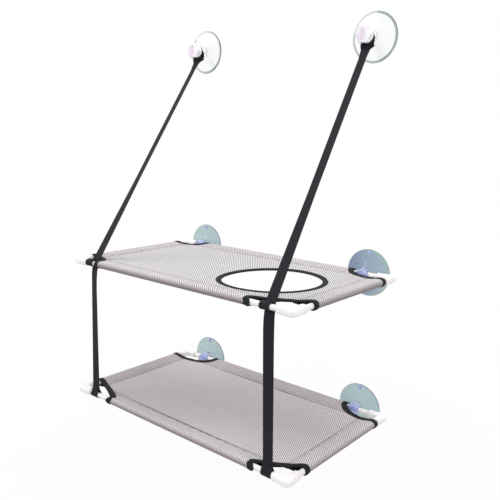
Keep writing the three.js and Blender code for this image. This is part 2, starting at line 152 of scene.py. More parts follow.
def mesh_piece(name, points, faces, finish, smooth=True, uv=None):
    """A new object whose place is in its mesh, with one finish and, if given, its own UV map."""
    mesh = bpy.data.meshes.new(name)
    mesh.from_pydata([tuple(map(float, p)) for p in points], [], [tuple(map(int, f)) for f in faces])
    if uv is not None:
        layer = mesh.uv_layers.new(name="lay")
        index = np.zeros(len(mesh.loops), np.int32)
        mesh.loops.foreach_get("vertex_index", index)
        layer.data.foreach_set("uv", np.asarray(uv, np.float32)[index].ravel())
    mesh.polygons.foreach_set("use_smooth", [smooth] * len(mesh.polygons))
    mesh.materials.append(finish)
    mesh.validate()
    return linked(bpy.data.objects.new(name, mesh))


def linked(made):
    """Puts a new object into the scene."""
    bpy.context.collection.objects.link(made)
    return made


def face_outwards(piece):
    """Merges doubles and turns the faces of a closed piece outwards."""
    work = bmesh.new()
    work.from_mesh(piece.data)
    bmesh.ops.remove_doubles(work, verts=work.verts, dist=1e-6)
    bmesh.ops.recalc_face_normals(work, faces=work.faces)
    work.to_mesh(piece.data)
    work.free()
    return piece


def apply_modifiers(piece):
    """Turns a piece with live modifiers into a plain mesh."""
    seen = piece.evaluated_get(bpy.context.evaluated_depsgraph_get())
    plain = bpy.data.meshes.new_from_object(seen)
    piece.modifiers.clear()
    piece.data = plain
    return piece


def add_modifier(piece, kind, **settings):
    """Gives a piece one modifier with these settings and applies it."""
    step = piece.modifiers.new(kind.lower(), kind)
    for name, value in settings.items():
        setattr(step, name, value)
    return apply_modifiers(piece)


def smooth_by_angle(piece, degrees=35):
    """Shades the flats flat and the rounds round."""
    piece.data.set_sharp_from_angle(angle=math.radians(degrees))
    return piece


def seat(piece, body, slot_name, *nodes):
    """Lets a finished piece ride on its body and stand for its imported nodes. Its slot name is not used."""
    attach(piece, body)
    if nodes:
        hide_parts(*nodes)
    return piece


print("helpers ready")

# %% [markdown]
# ## The camera
#
# The camera stands in the room, to the right of the perch and a little above it. Its place was
# worked out from the corners of the tube frames. An exact matrix says it best, because the
# camera is also rolled by about a degree: the columns are its right, its up and its back.

# %% Camera
CAMERA_PLACE = (0.7835, -1.039, 0.257)
YAW, PITCH, ROLL = 0.699, 0.185, 0.022
FOCAL_PIXELS, PICTURE_WIDTH, SENSOR = 622.1, 500, 36.0

ahead = np.array([-math.sin(YAW) * math.cos(PITCH), math.cos(YAW) * math.cos(PITCH), -math.sin(PITCH)])
right = np.array([math.cos(YAW), math.sin(YAW), 0.0])
above = np.cross(right, ahead)
turned_right = math.cos(ROLL) * right + math.sin(ROLL) * above
turned_above = -math.sin(ROLL) * right + math.cos(ROLL) * above
lens = bpy.data.cameras.new("room_camera")
lens.sensor_width = SENSOR
lens.lens = SENSOR * FOCAL_PIXELS / PICTURE_WIDTH
lens.clip_end = 50
camera = linked(bpy.data.objects.new("room_camera", lens))
axes = np.column_stack([turned_right, turned_above, -ahead])
camera.matrix_world = Matrix.Translation(Vector(CAMERA_PLACE)) @ Matrix(axes.tolist()).to_4x4()
bpy.context.scene.camera = camera
print("lens", round(lens.lens, 2), "mm at", tuple(round(x, 3) for x in camera.location))

# %% [markdown]
# ## Light and background
#
# Goods like this are photographed in a white studio. A pale world lights all sides, and three
# large soft lamps give the tubes their long highlights. The lamps are turned to a level at
# which a white sheet renders just under white. The paper behind the perch has to look pure
# white without more light on the object, so the floor and the world show plain white only to
# the rays that come from the camera, from a mirror or through clear plastic. The floor mixes
# that white with a lit surface, which keeps a faint shadow.

# %% World, lamps and floor
WORLD_STRENGTH = 0.62
LAMP_TARGET = (0.0, -0.16, 0.05)
# Name, place, width and height in metres, and power in watts
LAMPS = (
    ("key_from_left", (-1.6, -1.5, 1.7), 1.6, 1.6, 34),
    ("fill_from_right", (2.0, -1.2, 0.9), 1.4, 1.8, 16),
    ("top_light", (0.2, 0.7, 2.2), 2.0, 1.2, 22),
)
FLOOR_HALF, FLOOR_DROP = 6, 0.14


def white_for_seeing_rays(node):
    """1 for a ray of the camera, a reflection or a clear piece, and 0 for one that lights."""
    ray = node("LightPath").node.outputs
    first = node("Math MAXIMUM", (ray["Is Camera Ray"], ray["Is Glossy Ray"]))
    return node("Math MAXIMUM", (first, ray["Is Transmission Ray"]))


def make_world():
    world = bpy.data.worlds.new("white_studio")
    bpy.context.scene.world = world
    world.use_nodes = True
    world.node_tree.nodes.clear()
    node = partial(add_node, world.node_tree)
    lit, seen = node("Background", ("#ffffff", WORLD_STRENGTH)), node("Background", ("#ffffff", 1.0))
    node("OutputWorld", (node("MixShader", (white_for_seeing_rays(node), lit, seen)),))


def soft_lamp(name, place, width, height, power):
    light = bpy.data.lights.new(name, "AREA")
    light.shape = "RECTANGLE"
    light.size, light.size_y, light.energy = width, height, power
    away = Vector(place) - Vector(LAMP_TARGET)
    aim = away.to_track_quat("Z", "Y").to_matrix().to_4x4()
    linked(bpy.data.objects.new(name, light)).matrix_world = Matrix.Translation(Vector(place)) @ aim


def white_paper():
    """Uncoated paper: a faint tooth, quite matt, and white to the eye even where it is dim."""
    made, node = new_material("white_paper")
    grain = node("TexNoise", {"Scale": 900.0, "Detail": 3.0})
    tone = node("Mix", {0: grain, 6: "#c6c6c6", 7: "#cecece"}, **COLOURS)
    lit = node("BsdfPrincipled", {"Base Color": tone, "Roughness": 0.9})
    far = node("VectorMath LENGTH", (node("TexCoord", out="Object"),), out="Value")
    # Near the object the white is a little weaker, and there the shadow shows
    near_share = node("MapRange", (far, 0.5, 1.1, 0.96, 1.0))
    share = node("Math MULTIPLY", (white_for_seeing_rays(node), near_share))
    glow = node("Emission", ("#ffffff", 1.0))
    node("OutputMaterial", (node("MixShader", (share, lit, glow)),))
    return made


make_world()
for lamp in LAMPS:
    soft_lamp(*lamp)
FLOOR_Z = cad_box[0][2] - FLOOR_DROP
floor_corners = [(x * FLOOR_HALF, y * FLOOR_HALF, FLOOR_Z) for x, y in ((-1, -1), (1, -1), (1, 1), (-1, 1))]
floor = mesh_piece("paper_floor", floor_corners, [(0, 1, 2, 3)], white_paper(), smooth=False)
bpy.context.scene.view_settings.view_transform = "Standard"
print("floor at", round(FLOOR_Z, 3))

# %% [markdown]
# ## White plastic and painted steel
#
# The tubes are steel with a white powder coat: smooth, a little glossy, with the fine orange
# peel that baked powder leaves. The elbows are moulded polypropylene, warmer and softer in
# shine, with a parting line at half height where the two halves of the mould met.

# %% Powder-coated steel and moulded plastic
TIER_GAP = TIER_Z["upper"] - TIER_Z["lower"]
PARTING_LINE = 0.4 * MM


def powder_coated_steel():
    """Baked powder: nearly white, with patches of shine from its orange peel."""
    made, node = new_material("powder_coated_steel")
    place = node("TexCoord", out="Object")
    peel = node("TexNoise", {"Vector": place, "Scale": 700.0, "Detail": 2.0})
    cloud = node("TexNoise", {"Vector": place, "Scale": 18.0})
    tone = node("Mix", {0: cloud, 6: "#efeae7", 7: "#f7f3f1"}, **COLOURS)
    rough = node("MapRange", (peel, 0.0, 1.0, 0.26, 0.4))
    normal = node("Bump", {"Strength": 0.3, "Distance": 0.06 * MM, "Height": peel})
    return finish_material(made, node, tone, normal, rough, {"IOR": 1.5})


def moulded_polypropylene():
    """Moulded plastic with a fine spark-eroded grain and a raised parting line at each tier."""
    made, node = new_material("moulded_polypropylene")
    place = node("TexCoord", out="Object")
    grain = node("TexNoise", {"Vector": place, "Scale": 1500.0, "Detail": 2.0})
    cloud = node("TexNoise", {"Vector": place, "Scale": 30.0})
    tone = node("Mix", {0: cloud, 6: "#f7f2f4", 7: "#fdfafb"}, **COLOURS)
    rough = node("MapRange", (grain, 0.0, 1.0, 0.36, 0.5))
    # The wave is nought at the height of every tier, and half a gap high midway
    off_tier = node("Math PINGPONG", (node("SeparateXYZ", (place,), out=2), TIER_GAP / 2))
    line = node("MapRange", (off_tier, 0.0, PARTING_LINE, 1.0, 0.0))
    raised = node("Math MULTIPLY_ADD", (grain, 0.25, line))
    normal = node("Bump", {"Strength": 0.6, "Distance": 0.12 * MM, "Height": raised})
    return finish_material(made, node, tone, normal, rough, {"IOR": 1.49})


POWDER_COAT, ELBOW_PLASTIC = powder_coated_steel(), moulded_polypropylene()
print("parting lines every", TIER_GAP, "m")

# %% [markdown]
# ## Clear soft vinyl
#
# The cups are plasticised PVC: clear, soft and faintly blue-green, with a soft shine rather
# than the hard one of glass. Light that crosses the skirt comes out tinted, so the body of a
# cup reads grey-green against white paper, and its thick neck, where the light runs furthest,
# goes a clear blue. The tint is in the surface colour, and the noise keeps it from being even.
# A painted line of light runs along each lip, full on the lit side. The upper right cup has a
# shaded copy of the vinyl: darker, with painted shade on the side away from the light. The top two
# cups have a copy painted nearly white, with an opaque white neck, as painted light, so that
# little more than the rim shows.
# The nuts and collars beside them are polished polypropylene, and their studs plated steel.

# %% Clear vinyl, polished plastic and zinc-plated steel
NUB_RISE = 39.4 * MM
NECK_STARTS, NECK_IS_FULL = -10.5 * MM, -14.5 * MM


def mark_from_middle(piece, x, z):
    """Gives a cup or a nut a UV map that holds each point's place from its own middle."""
    mesh = piece.data
    layer = mesh.uv_layers.get("lay") or mesh.uv_layers.new(name="lay")
    points = np.zeros(len(mesh.vertices) * 3, np.float32)
    mesh.vertices.foreach_get("co", points)
    index = np.zeros(len(mesh.loops), np.int32)
    mesh.loops.foreach_get("vertex_index", index)
    flat = points.reshape(-1, 3)[index][:, (0, 2)] - np.array([x, z], np.float32)
    layer.data.foreach_set("uv", flat.ravel())
    return piece


def clear_vinyl(name, thin, neck, rim, nub, shade, roughness, clearness):
    """Tinted clear plastic: two tones of the thin skirt, the neck, a painted lip line of light and the nub.

    rim is the painted lip line's tone, where it starts and its share on the side away from the light;
    shade is the strength of the painted shade on that side; clearness is the skirt's and then the neck's.
    """
    made, node = new_material(name)
    place, around = node("TexCoord", out="Object"), node("UVMap", uv_map="lay")
    from_glass = node("SeparateXYZ", (place,), out=1)
    sideways = node("SeparateXYZ", (around,))
    reach = node("VectorMath LENGTH", (around,), out="Value")
    off_nub = node("VectorMath DISTANCE", (around, (0, NUB_RISE, 0)), out="Value")
    # Painted shade: the side away from the light is darkened towards #7c8cae, as far as shade asks
    painted_shade_share = node("MapRange", (sideways, 34 * MM, -30 * MM, 0.0, shade))
    # Painted light: a line along the lip, full on the lit side and at rim's share on the other
    on_lip = node("MapRange", (reach, rim[1], rim[1] + 0.6 * MM))
    lit_side_share = node("MapRange", (sideways, -30 * MM, 20 * MM, rim[2], 1.0))
    line = node("Math MULTIPLY", (on_lip, lit_side_share))
    in_neck = node("MapRange", (from_glass, NECK_STARTS, NECK_IS_FULL))
    on_nub = node("MapRange", (off_nub, 3.4 * MM, 2.4 * MM))
    cloud = node("TexNoise", {"Vector": place, "Scale": 45.0, "Detail": 3.0})
    tone = node("Mix", {0: cloud, 6: thin[0], 7: thin[1]}, **COLOURS)
    # Over the tint go the painted shade, the painted lip line, the neck's tint and the nub's
    for share, over in ((painted_shade_share, "#7c8cae"), (line, rim[0]), (in_neck, neck), (on_nub, nub)):
        tone = node("Mix", {0: share, 6: tone, 7: over}, **COLOURS)
    fine = node("TexNoise", {"Vector": place, "Scale": 600.0})
    normal = node("Bump", {"Strength": 0.3, "Distance": 0.05 * MM, "Height": fine})
    rough = node("MapRange", (cloud, 0.0, 1.0, roughness * 0.8, roughness * 1.3))
    clear = node("MapRange", (from_glass, NECK_STARTS, NECK_IS_FULL, *clearness))
    return finish_material(made, node, tone, normal, rough, {"Transmission Weight": clear, "IOR": 1.53})


def zinc_plated_steel():
    """Plating over turned steel: a dull metal shine, with rings left by the tool."""
    made, node = new_material("zinc_plated_steel")
    rings = {"Vector": node("TexCoord", out="Object"), "Scale": 160.0, "Distortion": 0.6}
    turned = node("TexWave", rings, out=1, bands_direction="Y")
    tone = node("Mix", {0: turned, 6: "#a9acb0", 7: "#c9cccf"}, **COLOURS)
    normal = node("Bump", {"Strength": 0.5, "Distance": 0.2 * MM, "Height": turned})
    return finish_material(made, node, tone, normal, 0.3, {"Metallic": 1.0})


def polished_polypropylene():
    """Glossy white plastic with a lilac cast, painted whiter on the lit side and with painted shade, rosier,
    in the recess of the nut's face.
    """
    made, node = new_material("polished_polypropylene")
    around = node("UVMap", uv_map="lay")
    grain = node("TexNoise", {"Vector": node("TexCoord", out="Object"), "Scale": 900.0})
    oval = node("VectorMath MULTIPLY", (around, (1.0, 0.42, 0.0)))
    # Painted shade: the recess of the nut's face is rosier
    recess_shade = node("MapRange", (node("VectorMath LENGTH", (oval,), out="Value"), 5.2 * MM, 3.4 * MM))
    # Painted light: lilac on the side away from the light and white on the lit side
    painted_lit_side = node("MapRange", (node("SeparateXYZ", (around,)), -4 * MM, 12 * MM))
    tone = node("Mix", {0: painted_lit_side, 6: "#ebe2ee", 7: "#fbfafc"}, **COLOURS)
    tone = node("Mix", {0: recess_shade, 6: tone, 7: "#e6d8e4"}, **COLOURS)
    rough = node("MapRange", (grain, 0.0, 1.0, 0.24, 0.36))
    normal = node("Bump", {"Strength": 0.2, "Distance": 0.04 * MM, "Height": grain})
    return finish_material(made, node, tone, normal, rough, {"IOR": 1.49})


SKIRT_VINYL = clear_vinyl(
    "clear_soft_vinyl",
    thin=("#b4cbce", "#c0d4d6"),
    neck="#cdd4ff",
    rim=("#8f98ee", 44 * MM, 0.0),
    nub="#a3a9ff",
    shade=0.0,
    roughness=0.16,
    clearness=(0.8, 0.55),
)
# A shaded copy of the skirt's vinyl for the upper right cup: darker tones and painted shade on the side away
# from the light
SHADED_SKIRT_VINYL = clear_vinyl(
    "shaded_soft_vinyl",
    thin=("#a8bccb", "#b2c6cf"),
    neck="#d0d8ff",
    rim=("#a9c8c0", 42 * MM, 0.0),
    nub="#c3c8ff",
    shade=0.75,
    roughness=0.16,
    clearness=(0.8, 0.7),
)
# A lit copy of the vinyl for the top cups: painted nearly white, with an opaque white neck, as painted light
WHITE_LIT_VINYL = clear_vinyl(
    "white_lit_vinyl",
    thin=("#fbfdfd", "#ffffff"),
    neck="#fbfafd",
    rim=("#a3b0ac", 40.6 * MM, 0.75),
    nub="#fdfdff",
    shade=0.0,
    roughness=0.06,
    clearness=(0.96, 0.0),
)
NUT_PLASTIC, ZINC = polished_polypropylene(), zinc_plated_steel()
print("three vinyls, polished plastic and zinc ready")

# %% [markdown]
# ## Mesh cloth
#
# The slings are woven from PVC-coated polyester yarn, the cloth of outdoor chairs. Pairs of
# warp threads run front to back and the weft passes under and over them, so the cloth shows
# fine diagonal ladders with tiny dark openings. They are drawn about 3.5 mm apart, somewhat
# coarser than the real ones, so that they show in the render. The weave reads the cloth's own
# flat coordinates, in metres, so that it follows the sag and wraps round the tubes without
# stretching. Two waves that cross give threads and openings. The openings are dark paint in
# the material, not holes, which keeps the sheet whole.

# %% Coated mesh cloth, binding tape and webbing
HEM = 30 * MM
SEAM_FROM = HEM + 0.5 * MM


def wave_of(node, value, spacing):
    """A smooth 0 to 1 wave of a length in metres along a value in metres."""
    sine = node("Math SINE", (node("Math MULTIPLY", (value, 2 * math.pi / spacing)),))
    return node("Math MULTIPLY_ADD", (sine, 0.5, 0.5))


def coated_mesh(name, opening, thread, crown, hem, lean, spacing):
    """Open weave on the cloth's flat map: its ladders lean this far from front to back.

    hem holds the tones of painted shade on the hem all round, on the hem at the back and left again,
    and along the fold of the seam. Each is laid over the weave by multiplying.
    """
    made, node = new_material(name)
    lay = node("UVMap", uv_map="lay")
    across, along = node("SeparateXYZ", (lay,)), node("SeparateXYZ", (lay,), out=1)
    ladder = wave_of(node, node("Math MULTIPLY_ADD", (along, lean, across)), spacing * math.hypot(1, lean))
    crossing = node("Math MULTIPLY_ADD", (along, -1.0 / (lean + 0.4), across))
    # The rungs cross the ladders and take up to 45 percent off them
    rung = node("Math MULTIPLY_ADD", (wave_of(node, crossing, spacing * 1.1), 0.45, 0.55))
    woven = node("Math MULTIPLY", (ladder, rung))
    tone = node("ValToRGB", (woven,))
    ramp = tone.node.color_ramp
    ramp.elements[0].position, ramp.elements[0].color = 0.1, colour(crown)
    ramp.elements[1].position, ramp.elements[1].color = 0.6, colour(opening)
    ramp.elements.new(0.3).color = colour(thread)
    hems, far_hem_shades, seams = [], [], []
    for value, away, limit in ((across, -1.0, HALF_WIDTH), (along, 1.0, HALF_DEPTH)):
        start = limit - SEAM_FROM
        place = node("Math ABSOLUTE", (value,))
        off_seam = node("Math ABSOLUTE", (node("Math SUBTRACT", (place, start)),))
        hems.append(node("MapRange", (place, start, start + MM)))
        far_hem_shades.append(node("MapRange", (node("Math MULTIPLY", (value, away)), start, start + MM)))
        seams.append(node("MapRange", (off_seam, 1.6 * MM, 0.6 * MM)))
    # Painted shade: the sleeves are greyer, #b0a3a1, where they turn under the front and the right tube
    past_front = node("Math MULTIPLY_ADD", (along, -1.0, -HALF_DEPTH))
    past_right = node("Math SUBTRACT", (across, HALF_WIDTH))
    under = node("MapRange", (node("Math MAXIMUM", (past_front, past_right)), 3 * MM, 12 * MM))
    shares = [node("Math MAXIMUM", masks) for masks in (hems, far_hem_shades, seams)] + [under]
    for share, over in zip(shares, (*hem, "#b0a3a1")):
        tone = node("Mix", {0: share, 6: tone, 7: over}, blend_type="MULTIPLY", **COLOURS)
    cloud = node("TexNoise", {"Vector": lay, "Scale": 22.0, "Detail": 4.0})
    tone = node("VectorMath SCALE", {0: tone, "Scale": node("MapRange", (cloud, 0.0, 1.0, 0.93, 1.05))})
    height = node("Math SUBTRACT", (1.0, woven))
    normal = node("Bump", {"Strength": 0.4, "Distance": 0.4 * MM, "Height": height})
    return finish_material(made, node, tone, normal, 0.62, {"Sheen Weight": 0.05})


def ribbed_webbing(name, dark, light, rib, yarn):
    """Woven tape: ribs across its width, and a fine twill along it, both in its own lay."""
    made, node = new_material(name)
    lay = node("UVMap", uv_map="lay")
    across, along = node("SeparateXYZ", (lay,)), node("SeparateXYZ", (lay,), out=1)
    ribs = wave_of(node, node("Math MULTIPLY_ADD", (across, 0.5, along)), rib)
    woven = node("Math MULTIPLY", (ribs, wave_of(node, across, yarn)))
    cloud = node("TexNoise", {"Vector": lay, "Scale": 60.0, "Detail": 3.0})
    share = node("MapRange", (node("Math MULTIPLY_ADD", (cloud, 0.35, woven)), 0.1, 1.1))
    tone = node("Mix", {0: share, 6: dark, 7: light}, **COLOURS)
    normal = node("Bump", {"Strength": 0.6, "Distance": 0.35 * MM, "Height": woven})
    return finish_material(made, node, tone, normal, 0.8, {"Specular IOR Level": 0.22})


def sewing_thread(name, dark, light):
    """Twisted thread: a fine oblique wave, and a matt surface."""
    made, node = new_material(name)
    strands = {"Vector": node("TexCoord", out="Object"), "Scale": 420.0, "Distortion": 1.0}
    twist = node("TexWave", strands, out=1, bands_direction="DIAGONAL")
    tone = node("Mix", {0: twist, 6: dark, 7: light}, **COLOURS)
    normal = node("Bump", {"Strength": 0.4, "Distance": 0.1 * MM, "Height": twist})
    return finish_material(made, node, tone, normal, 0.75, {})


# Tones of painted shade on the hem all round, on the hem at the back and left, and along the seam's fold
UPPER_HEM_SHADES, LOWER_HEM_SHADES = ("#ffffff", "#fbf6f7", "#eeeaec"), ("#ffffff", "#ebe6e5", "#d4cccc")
UPPER_MESH = coated_mesh("upper_coated_mesh", "#8f8b8d", "#c5c1c3", "#e4e1e2", UPPER_HEM_SHADES, 0.85, 3.5 * MM)
LOWER_MESH = coated_mesh("lower_coated_mesh", "#968f91", "#c9c3c4", "#e5e0e2", LOWER_HEM_SHADES, 0.45, 3.4 * MM)
BINDING_TAPE = ribbed_webbing("grosgrain_binding", "#121316", "#26282c", 1.6 * MM, 1.1 * MM)
WEBBING = ribbed_webbing("polyester_webbing", "#111317", "#2a2c32", 2.2 * MM, 1.5 * MM)
HEM_THREAD = sewing_thread("grey_sewing_thread", "#a39d9e", "#c6c0c1")
DARK_THREAD = sewing_thread("dark_sewing_thread", "#1d1e22", "#3a3c42")
print("the weave repeats every 3.5 mm above and every 3.4 mm below")

# %% [markdown]
# ## Tubes
#
# A tube is a wall of even thickness, so its outline is a thin rectangle turned round the
# tube's axis. Turning gives a cleaner shape than a primitive with a hole cut in it, and the
# outline can carry the small chamfer that the saw burr was filed to. The eight tubes take
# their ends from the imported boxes.

# %% Turned pieces and the eight tubes
TUBE_WALL, BURR = 1 * MM, 0.3 * MM


def turned_piece(name, outline, centre, axis, finish, steps=64, closed=True):
    """Turns (radius, height) pairs round an axis through a centre. Poles have radius 0."""
    axis = np.array(axis, float)
    side = np.array([0, 0, 1.0]) if abs(axis[2]) < 0.5 else np.array([1.0, 0, 0])
    other = np.cross(axis, side)
    rings, points = [], []
    for radius, height in outline:
        base = np.array(centre) + axis * height
        count = steps if radius > 0 else 1
        rings.append([len(points) + i % count for i in range(steps)])
        for a in 2 * math.pi * np.arange(count) / steps:
            points.append(base + radius * (math.cos(a) * side + math.sin(a) * other))
    pairs = zip(rings, rings[1:] + rings[:1]) if closed else zip(rings, rings[1:])
    faces = []
    for one, two in pairs:
        for i in range(steps):
            j = (i + 1) % steps
            # At a pole two corners are the same point, and the dict keeps only one of them
            face = tuple(dict.fromkeys((one[i], one[j], two[j], two[i])))
            if len(face) > 2:
                faces.append(face)
    return face_outwards(mesh_piece(name, points, faces, finish))


def add_tube(node_name, axis_index, body):
    low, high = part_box(node_name)
    half = (high[axis_index] - low[axis_index]) / 2
    outer, inner = TUBE_RADIUS, TUBE_RADIUS - TUBE_WALL
    end = [(outer, half - BURR), (outer - BURR, half), (inner, half)]
    outline = [(r, -h) for r, h in reversed(end)] + end
    axis = np.eye(3)[axis_index]
    tube = turned_piece(node_name + "_round", outline, middle_of(node_name), axis, POWDER_COAT, 48)
    return seat(smooth_by_angle(tube), body, "tube", node_name)


for tier in TIERS:
    for side, axis_index in (("back", 0), ("front", 0), ("left", 1), ("right", 1)):
        add_tube(f"{tier}_{side}_tube", axis_index, tier + "_tier")
print("eight tubes, of", TUBE_RADIUS * 2000, "mm")

# %% [markdown]
# ## Corner elbows
#
# Each elbow is one plastic moulding: two sockets at a right angle, thick at the bend and
# thinner at the mouths, with every long edge well rounded. It is made as a stack of the same
# L outline, drawn in a little at each level so that the sides come out round. The arms are made
# too long and sliced off square, because a mouth is flat. Bores and small bevels come last.

# %% Eight moulded elbows
ARM, ARM_SPARE, MOUTH, ROOT, FILLET = 27.5 * MM, 6 * MM, 6.7 * MM, 8.5 * MM, 5 * MM
HALF_HEIGHT, ROUNDING, LEVELS = 7.2 * MM, 5.2 * MM, 17
SOCKET_RADIUS, SOCKET_START = 5.15 * MM, 9 * MM
CORNERS = {"front_left": 0.0, "front_right": math.pi / 2, "back_right": math.pi, "back_left": -math.pi / 2}
ARMS = ((1, 0, 0), (0, 1, 0))


def boolean_with(piece, other, operation):
    add_modifier(piece, "BOOLEAN", object=other, operation=operation, solver="EXACT")
    bpy.data.objects.remove(other)
    return piece


def elbow_outline(inset, steps=10):
    """The L of an elbow, its arms along +X and +Y, drawn in all round by an inset."""
    reach, root, mouth, inner = ARM + ARM_SPARE, ROOT - inset, MOUTH - inset, FILLET + inset
    points = [(reach, -mouth), (reach, mouth)]
    for t in np.linspace(0, 1, steps + 1):
        start, corner, end = np.array([(root + inner, root), (root, root), (root, root + inner)])
        points.append(tuple((1 - t) ** 2 * start + 2 * t * (1 - t) * corner + t * t * end))
    points += [(mouth, reach), (-mouth, reach)]
    for a in np.linspace(math.pi, 1.5 * math.pi, steps + 1):
        points.append((root * math.cos(a), root * math.sin(a)))
    return points


def add_elbow(tier, corner, turn):
    node_name = f"{tier}_{corner}_elbow"
    points, rows = [], []
    for level in range(LEVELS):
        slope = math.pi * (level / (LEVELS - 1) - 0.5)
        outline = elbow_outline(ROUNDING * (1 - math.cos(slope)))
        rise = np.sign(level - LEVELS // 2) * (HALF_HEIGHT - ROUNDING) + ROUNDING * math.sin(slope)
        rows.append(range(len(points), len(points) + len(outline)))
        points += [(x, y, rise) for x, y in outline]
    faces = [tuple(reversed(rows[0])), tuple(rows[-1])]
    for one, two in zip(rows, rows[1:]):
        around = range(len(outline))
        faces += [(one[k - 1], one[k], two[k], two[k - 1]) for k in (*around[1:], 0)]
    piece = mesh_piece(node_name + "_moulding", points, faces, ELBOW_PLASTIC)
    work = bmesh.new()
    work.from_mesh(piece.data)
    for arm in ARMS:
        everything = work.verts[:] + work.edges[:] + work.faces[:]
        at = [ARM * x for x in arm]
        cut = bmesh.ops.bisect_plane(work, geom=everything, plane_co=at, plane_no=arm, clear_outer=True)
        rim = [e for e in cut["geom_cut"] if isinstance(e, bmesh.types.BMEdge)]
        bmesh.ops.contextual_create(work, geom=rim)
    bmesh.ops.recalc_face_normals(work, faces=work.faces)
    x = HALF_WIDTH if "right" in corner else -HALF_WIDTH
    y = FRONT_Y if "front" in corner else BACK_Y
    place = Matrix.Translation((x, y, TIER_Z[tier])) @ Matrix.Rotation(turn, 4, "Z")
    work.transform(place)
    work.to_mesh(piece.data)
    work.free()
    start, end = SOCKET_START, ARM + 4 * MM
    socket = [(0, start), (SOCKET_RADIUS, start), (SOCKET_RADIUS, end), (0, end)]
    for arm in ARMS:
        bore = turned_piece("bore", socket, (0, 0, 0), arm, ELBOW_PLASTIC, 48, closed=False)
        bore.data.transform(place)
        boolean_with(piece, bore, "DIFFERENCE")
    edge = math.radians(50)
    add_modifier(piece, "BEVEL", width=0.5 * MM, segments=2, limit_method="ANGLE", angle_limit=edge)
    return seat(smooth_by_angle(piece, 40), tier + "_tier", "elbow", node_name)


for tier in TIERS:
    for corner, turn in CORNERS.items():
        made = add_elbow(tier, corner, turn)
print("an elbow has", len(made.data.polygons), "faces")

# %% [markdown]
# ## Suction cups
#
# A cup is turned: a thin lip that seals on the glass, a skirt that rises to a thick neck, and
# a shallow hollow behind. The outline is drawn once as a fine curve and spun. Four of the necks
# are bored crossways for the back tubes, and a little nub near the rim is there to pull the
# lip off the glass. The bore and the nub are booleans, because clear plastic shows every inner
# face and none may be left inside.

# %% Six clear cups
ROOM = (0, -1, 0)
LIP, HOLLOW, FOOT, SKIRT_TOP = 4 * MM, 3.6 * MM, 4 * MM, 9 * MM
NUB_INSET, BORE_HALF, STUD_HOLE = 6 * MM, 14 * MM, 4.3 * MM


def cup_outline(radius, neck_radius, neck_end, neck_round, pocket=0.0):
    """(radius, height from the glass) from the middle of the hollow to the end of the neck."""
    outline = [((radius - LIP) * s, HOLLOW * (1 - s * s)) for s in np.linspace(0, 1, 14)]
    lip_edge = ((0.35, 0.0), (0.0, 0.3), (0.0, 0.7), (0.4, 1.05))
    outline += [(radius - x * MM, z * MM) for x, z in lip_edge]
    foot = neck_radius + FOOT
    for s in np.linspace(0.04, 1, 16):
        rise = 0.9 * MM + (SKIRT_TOP - 0.9 * MM) * (0.62 * s + 0.38 * s * s)
        outline.append((radius - (radius - foot) * s, rise))
    for a in np.linspace(0.25, 1, 5) * math.pi / 2:
        outline.append((foot - FOOT * math.sin(a), SKIRT_TOP + FOOT * (1 - math.cos(a))))
    for a in np.linspace(0, math.pi / 2, 7):
        drawn_in, lower = neck_round * (1 - math.cos(a)), neck_round * (1 - math.sin(a))
        outline.append((neck_radius - drawn_in, neck_end - lower))
    if pocket:
        outline += [(STUD_HOLE, neck_end), (STUD_HOLE, neck_end - pocket)]
    return outline + [(0, neck_end - pocket)]


def add_cup(name, z, neck_radius, neck_round, vinyl, pocket=0.0, crossways=False):
    low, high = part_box(name)
    x, radius = (low[0] + high[0]) / 2, (high[0] - low[0]) / 2
    outline = cup_outline(radius, neck_radius, -low[1], neck_round, pocket)
    cup = turned_piece(name + "_vinyl", outline, (x, 0, z), ROOM, vinyl, 96, closed=False)
    if crossways:
        nub_line = [(x * MM, y * MM) for x, y in ((0, 1.5), (2.1, 1.5), (1.9, 4.4), (1.4, 5.0), (0, 5.2))]
        nub_z = z + radius - NUB_INSET
        nub = turned_piece("nub", nub_line, (x, 0, nub_z), ROOM, vinyl, 20, closed=False)
        boolean_with(cup, nub, "UNION")
        end = BORE_HALF
        line = [(0, -end), (SOCKET_RADIUS, -end), (SOCKET_RADIUS, end), (0, end)]
        bore = turned_piece("bore", line, (x, BACK_Y, z), (1, 0, 0), vinyl, 40, closed=False)
        boolean_with(cup, bore, "DIFFERENCE")
    mark_from_middle(cup, x, z)
    seat(smooth_by_angle(cup, 45), "window_anchors", "cup", name)
    return radius


for tier in TIERS:
    for side in SIDES:
        name = f"{tier}_{side}_cup"
        # The upper right cup takes the shaded copy, whose darker tones are painted shade
        vinyl = SHADED_SKIRT_VINYL if name == "upper_right_cup" else SKIRT_VINYL
        add_cup(name, TIER_Z[tier], 11.5 * MM, 3 * MM, vinyl, crossways=True)
for side in SIDES:
    name = f"top_{side}_cup"
    radius = add_cup(name, middle_of(name)[2], 10.5 * MM, 1 * MM, WHITE_LIT_VINYL, pocket=15.3 * MM)
print("six cups, of", round(radius * 2000, 1), "mm")

# %% [markdown]
# ## Hand nuts, collars and studs
#
# The nut that squeezes the strap against the cup has six soft lobes for the fingers, and a
# shallow upright recess in its face. Its radius and its face are simple rules of the angle and
# the place, which is what Geometry Nodes do well: the tree takes a plain cylinder, moves each
# point by the rule, and its sizes are inputs. The result is turned into a plain mesh, because
# a finished piece keeps no live tree.

# %% Lobed nuts by Geometry Nodes
NUT_SPARE = 0.9 * MM
RECESS_HALF_WIDTH, RECESS_HALF_HEIGHT, DOME = 4.7 * MM, 11.2 * MM, 0.6 * MM


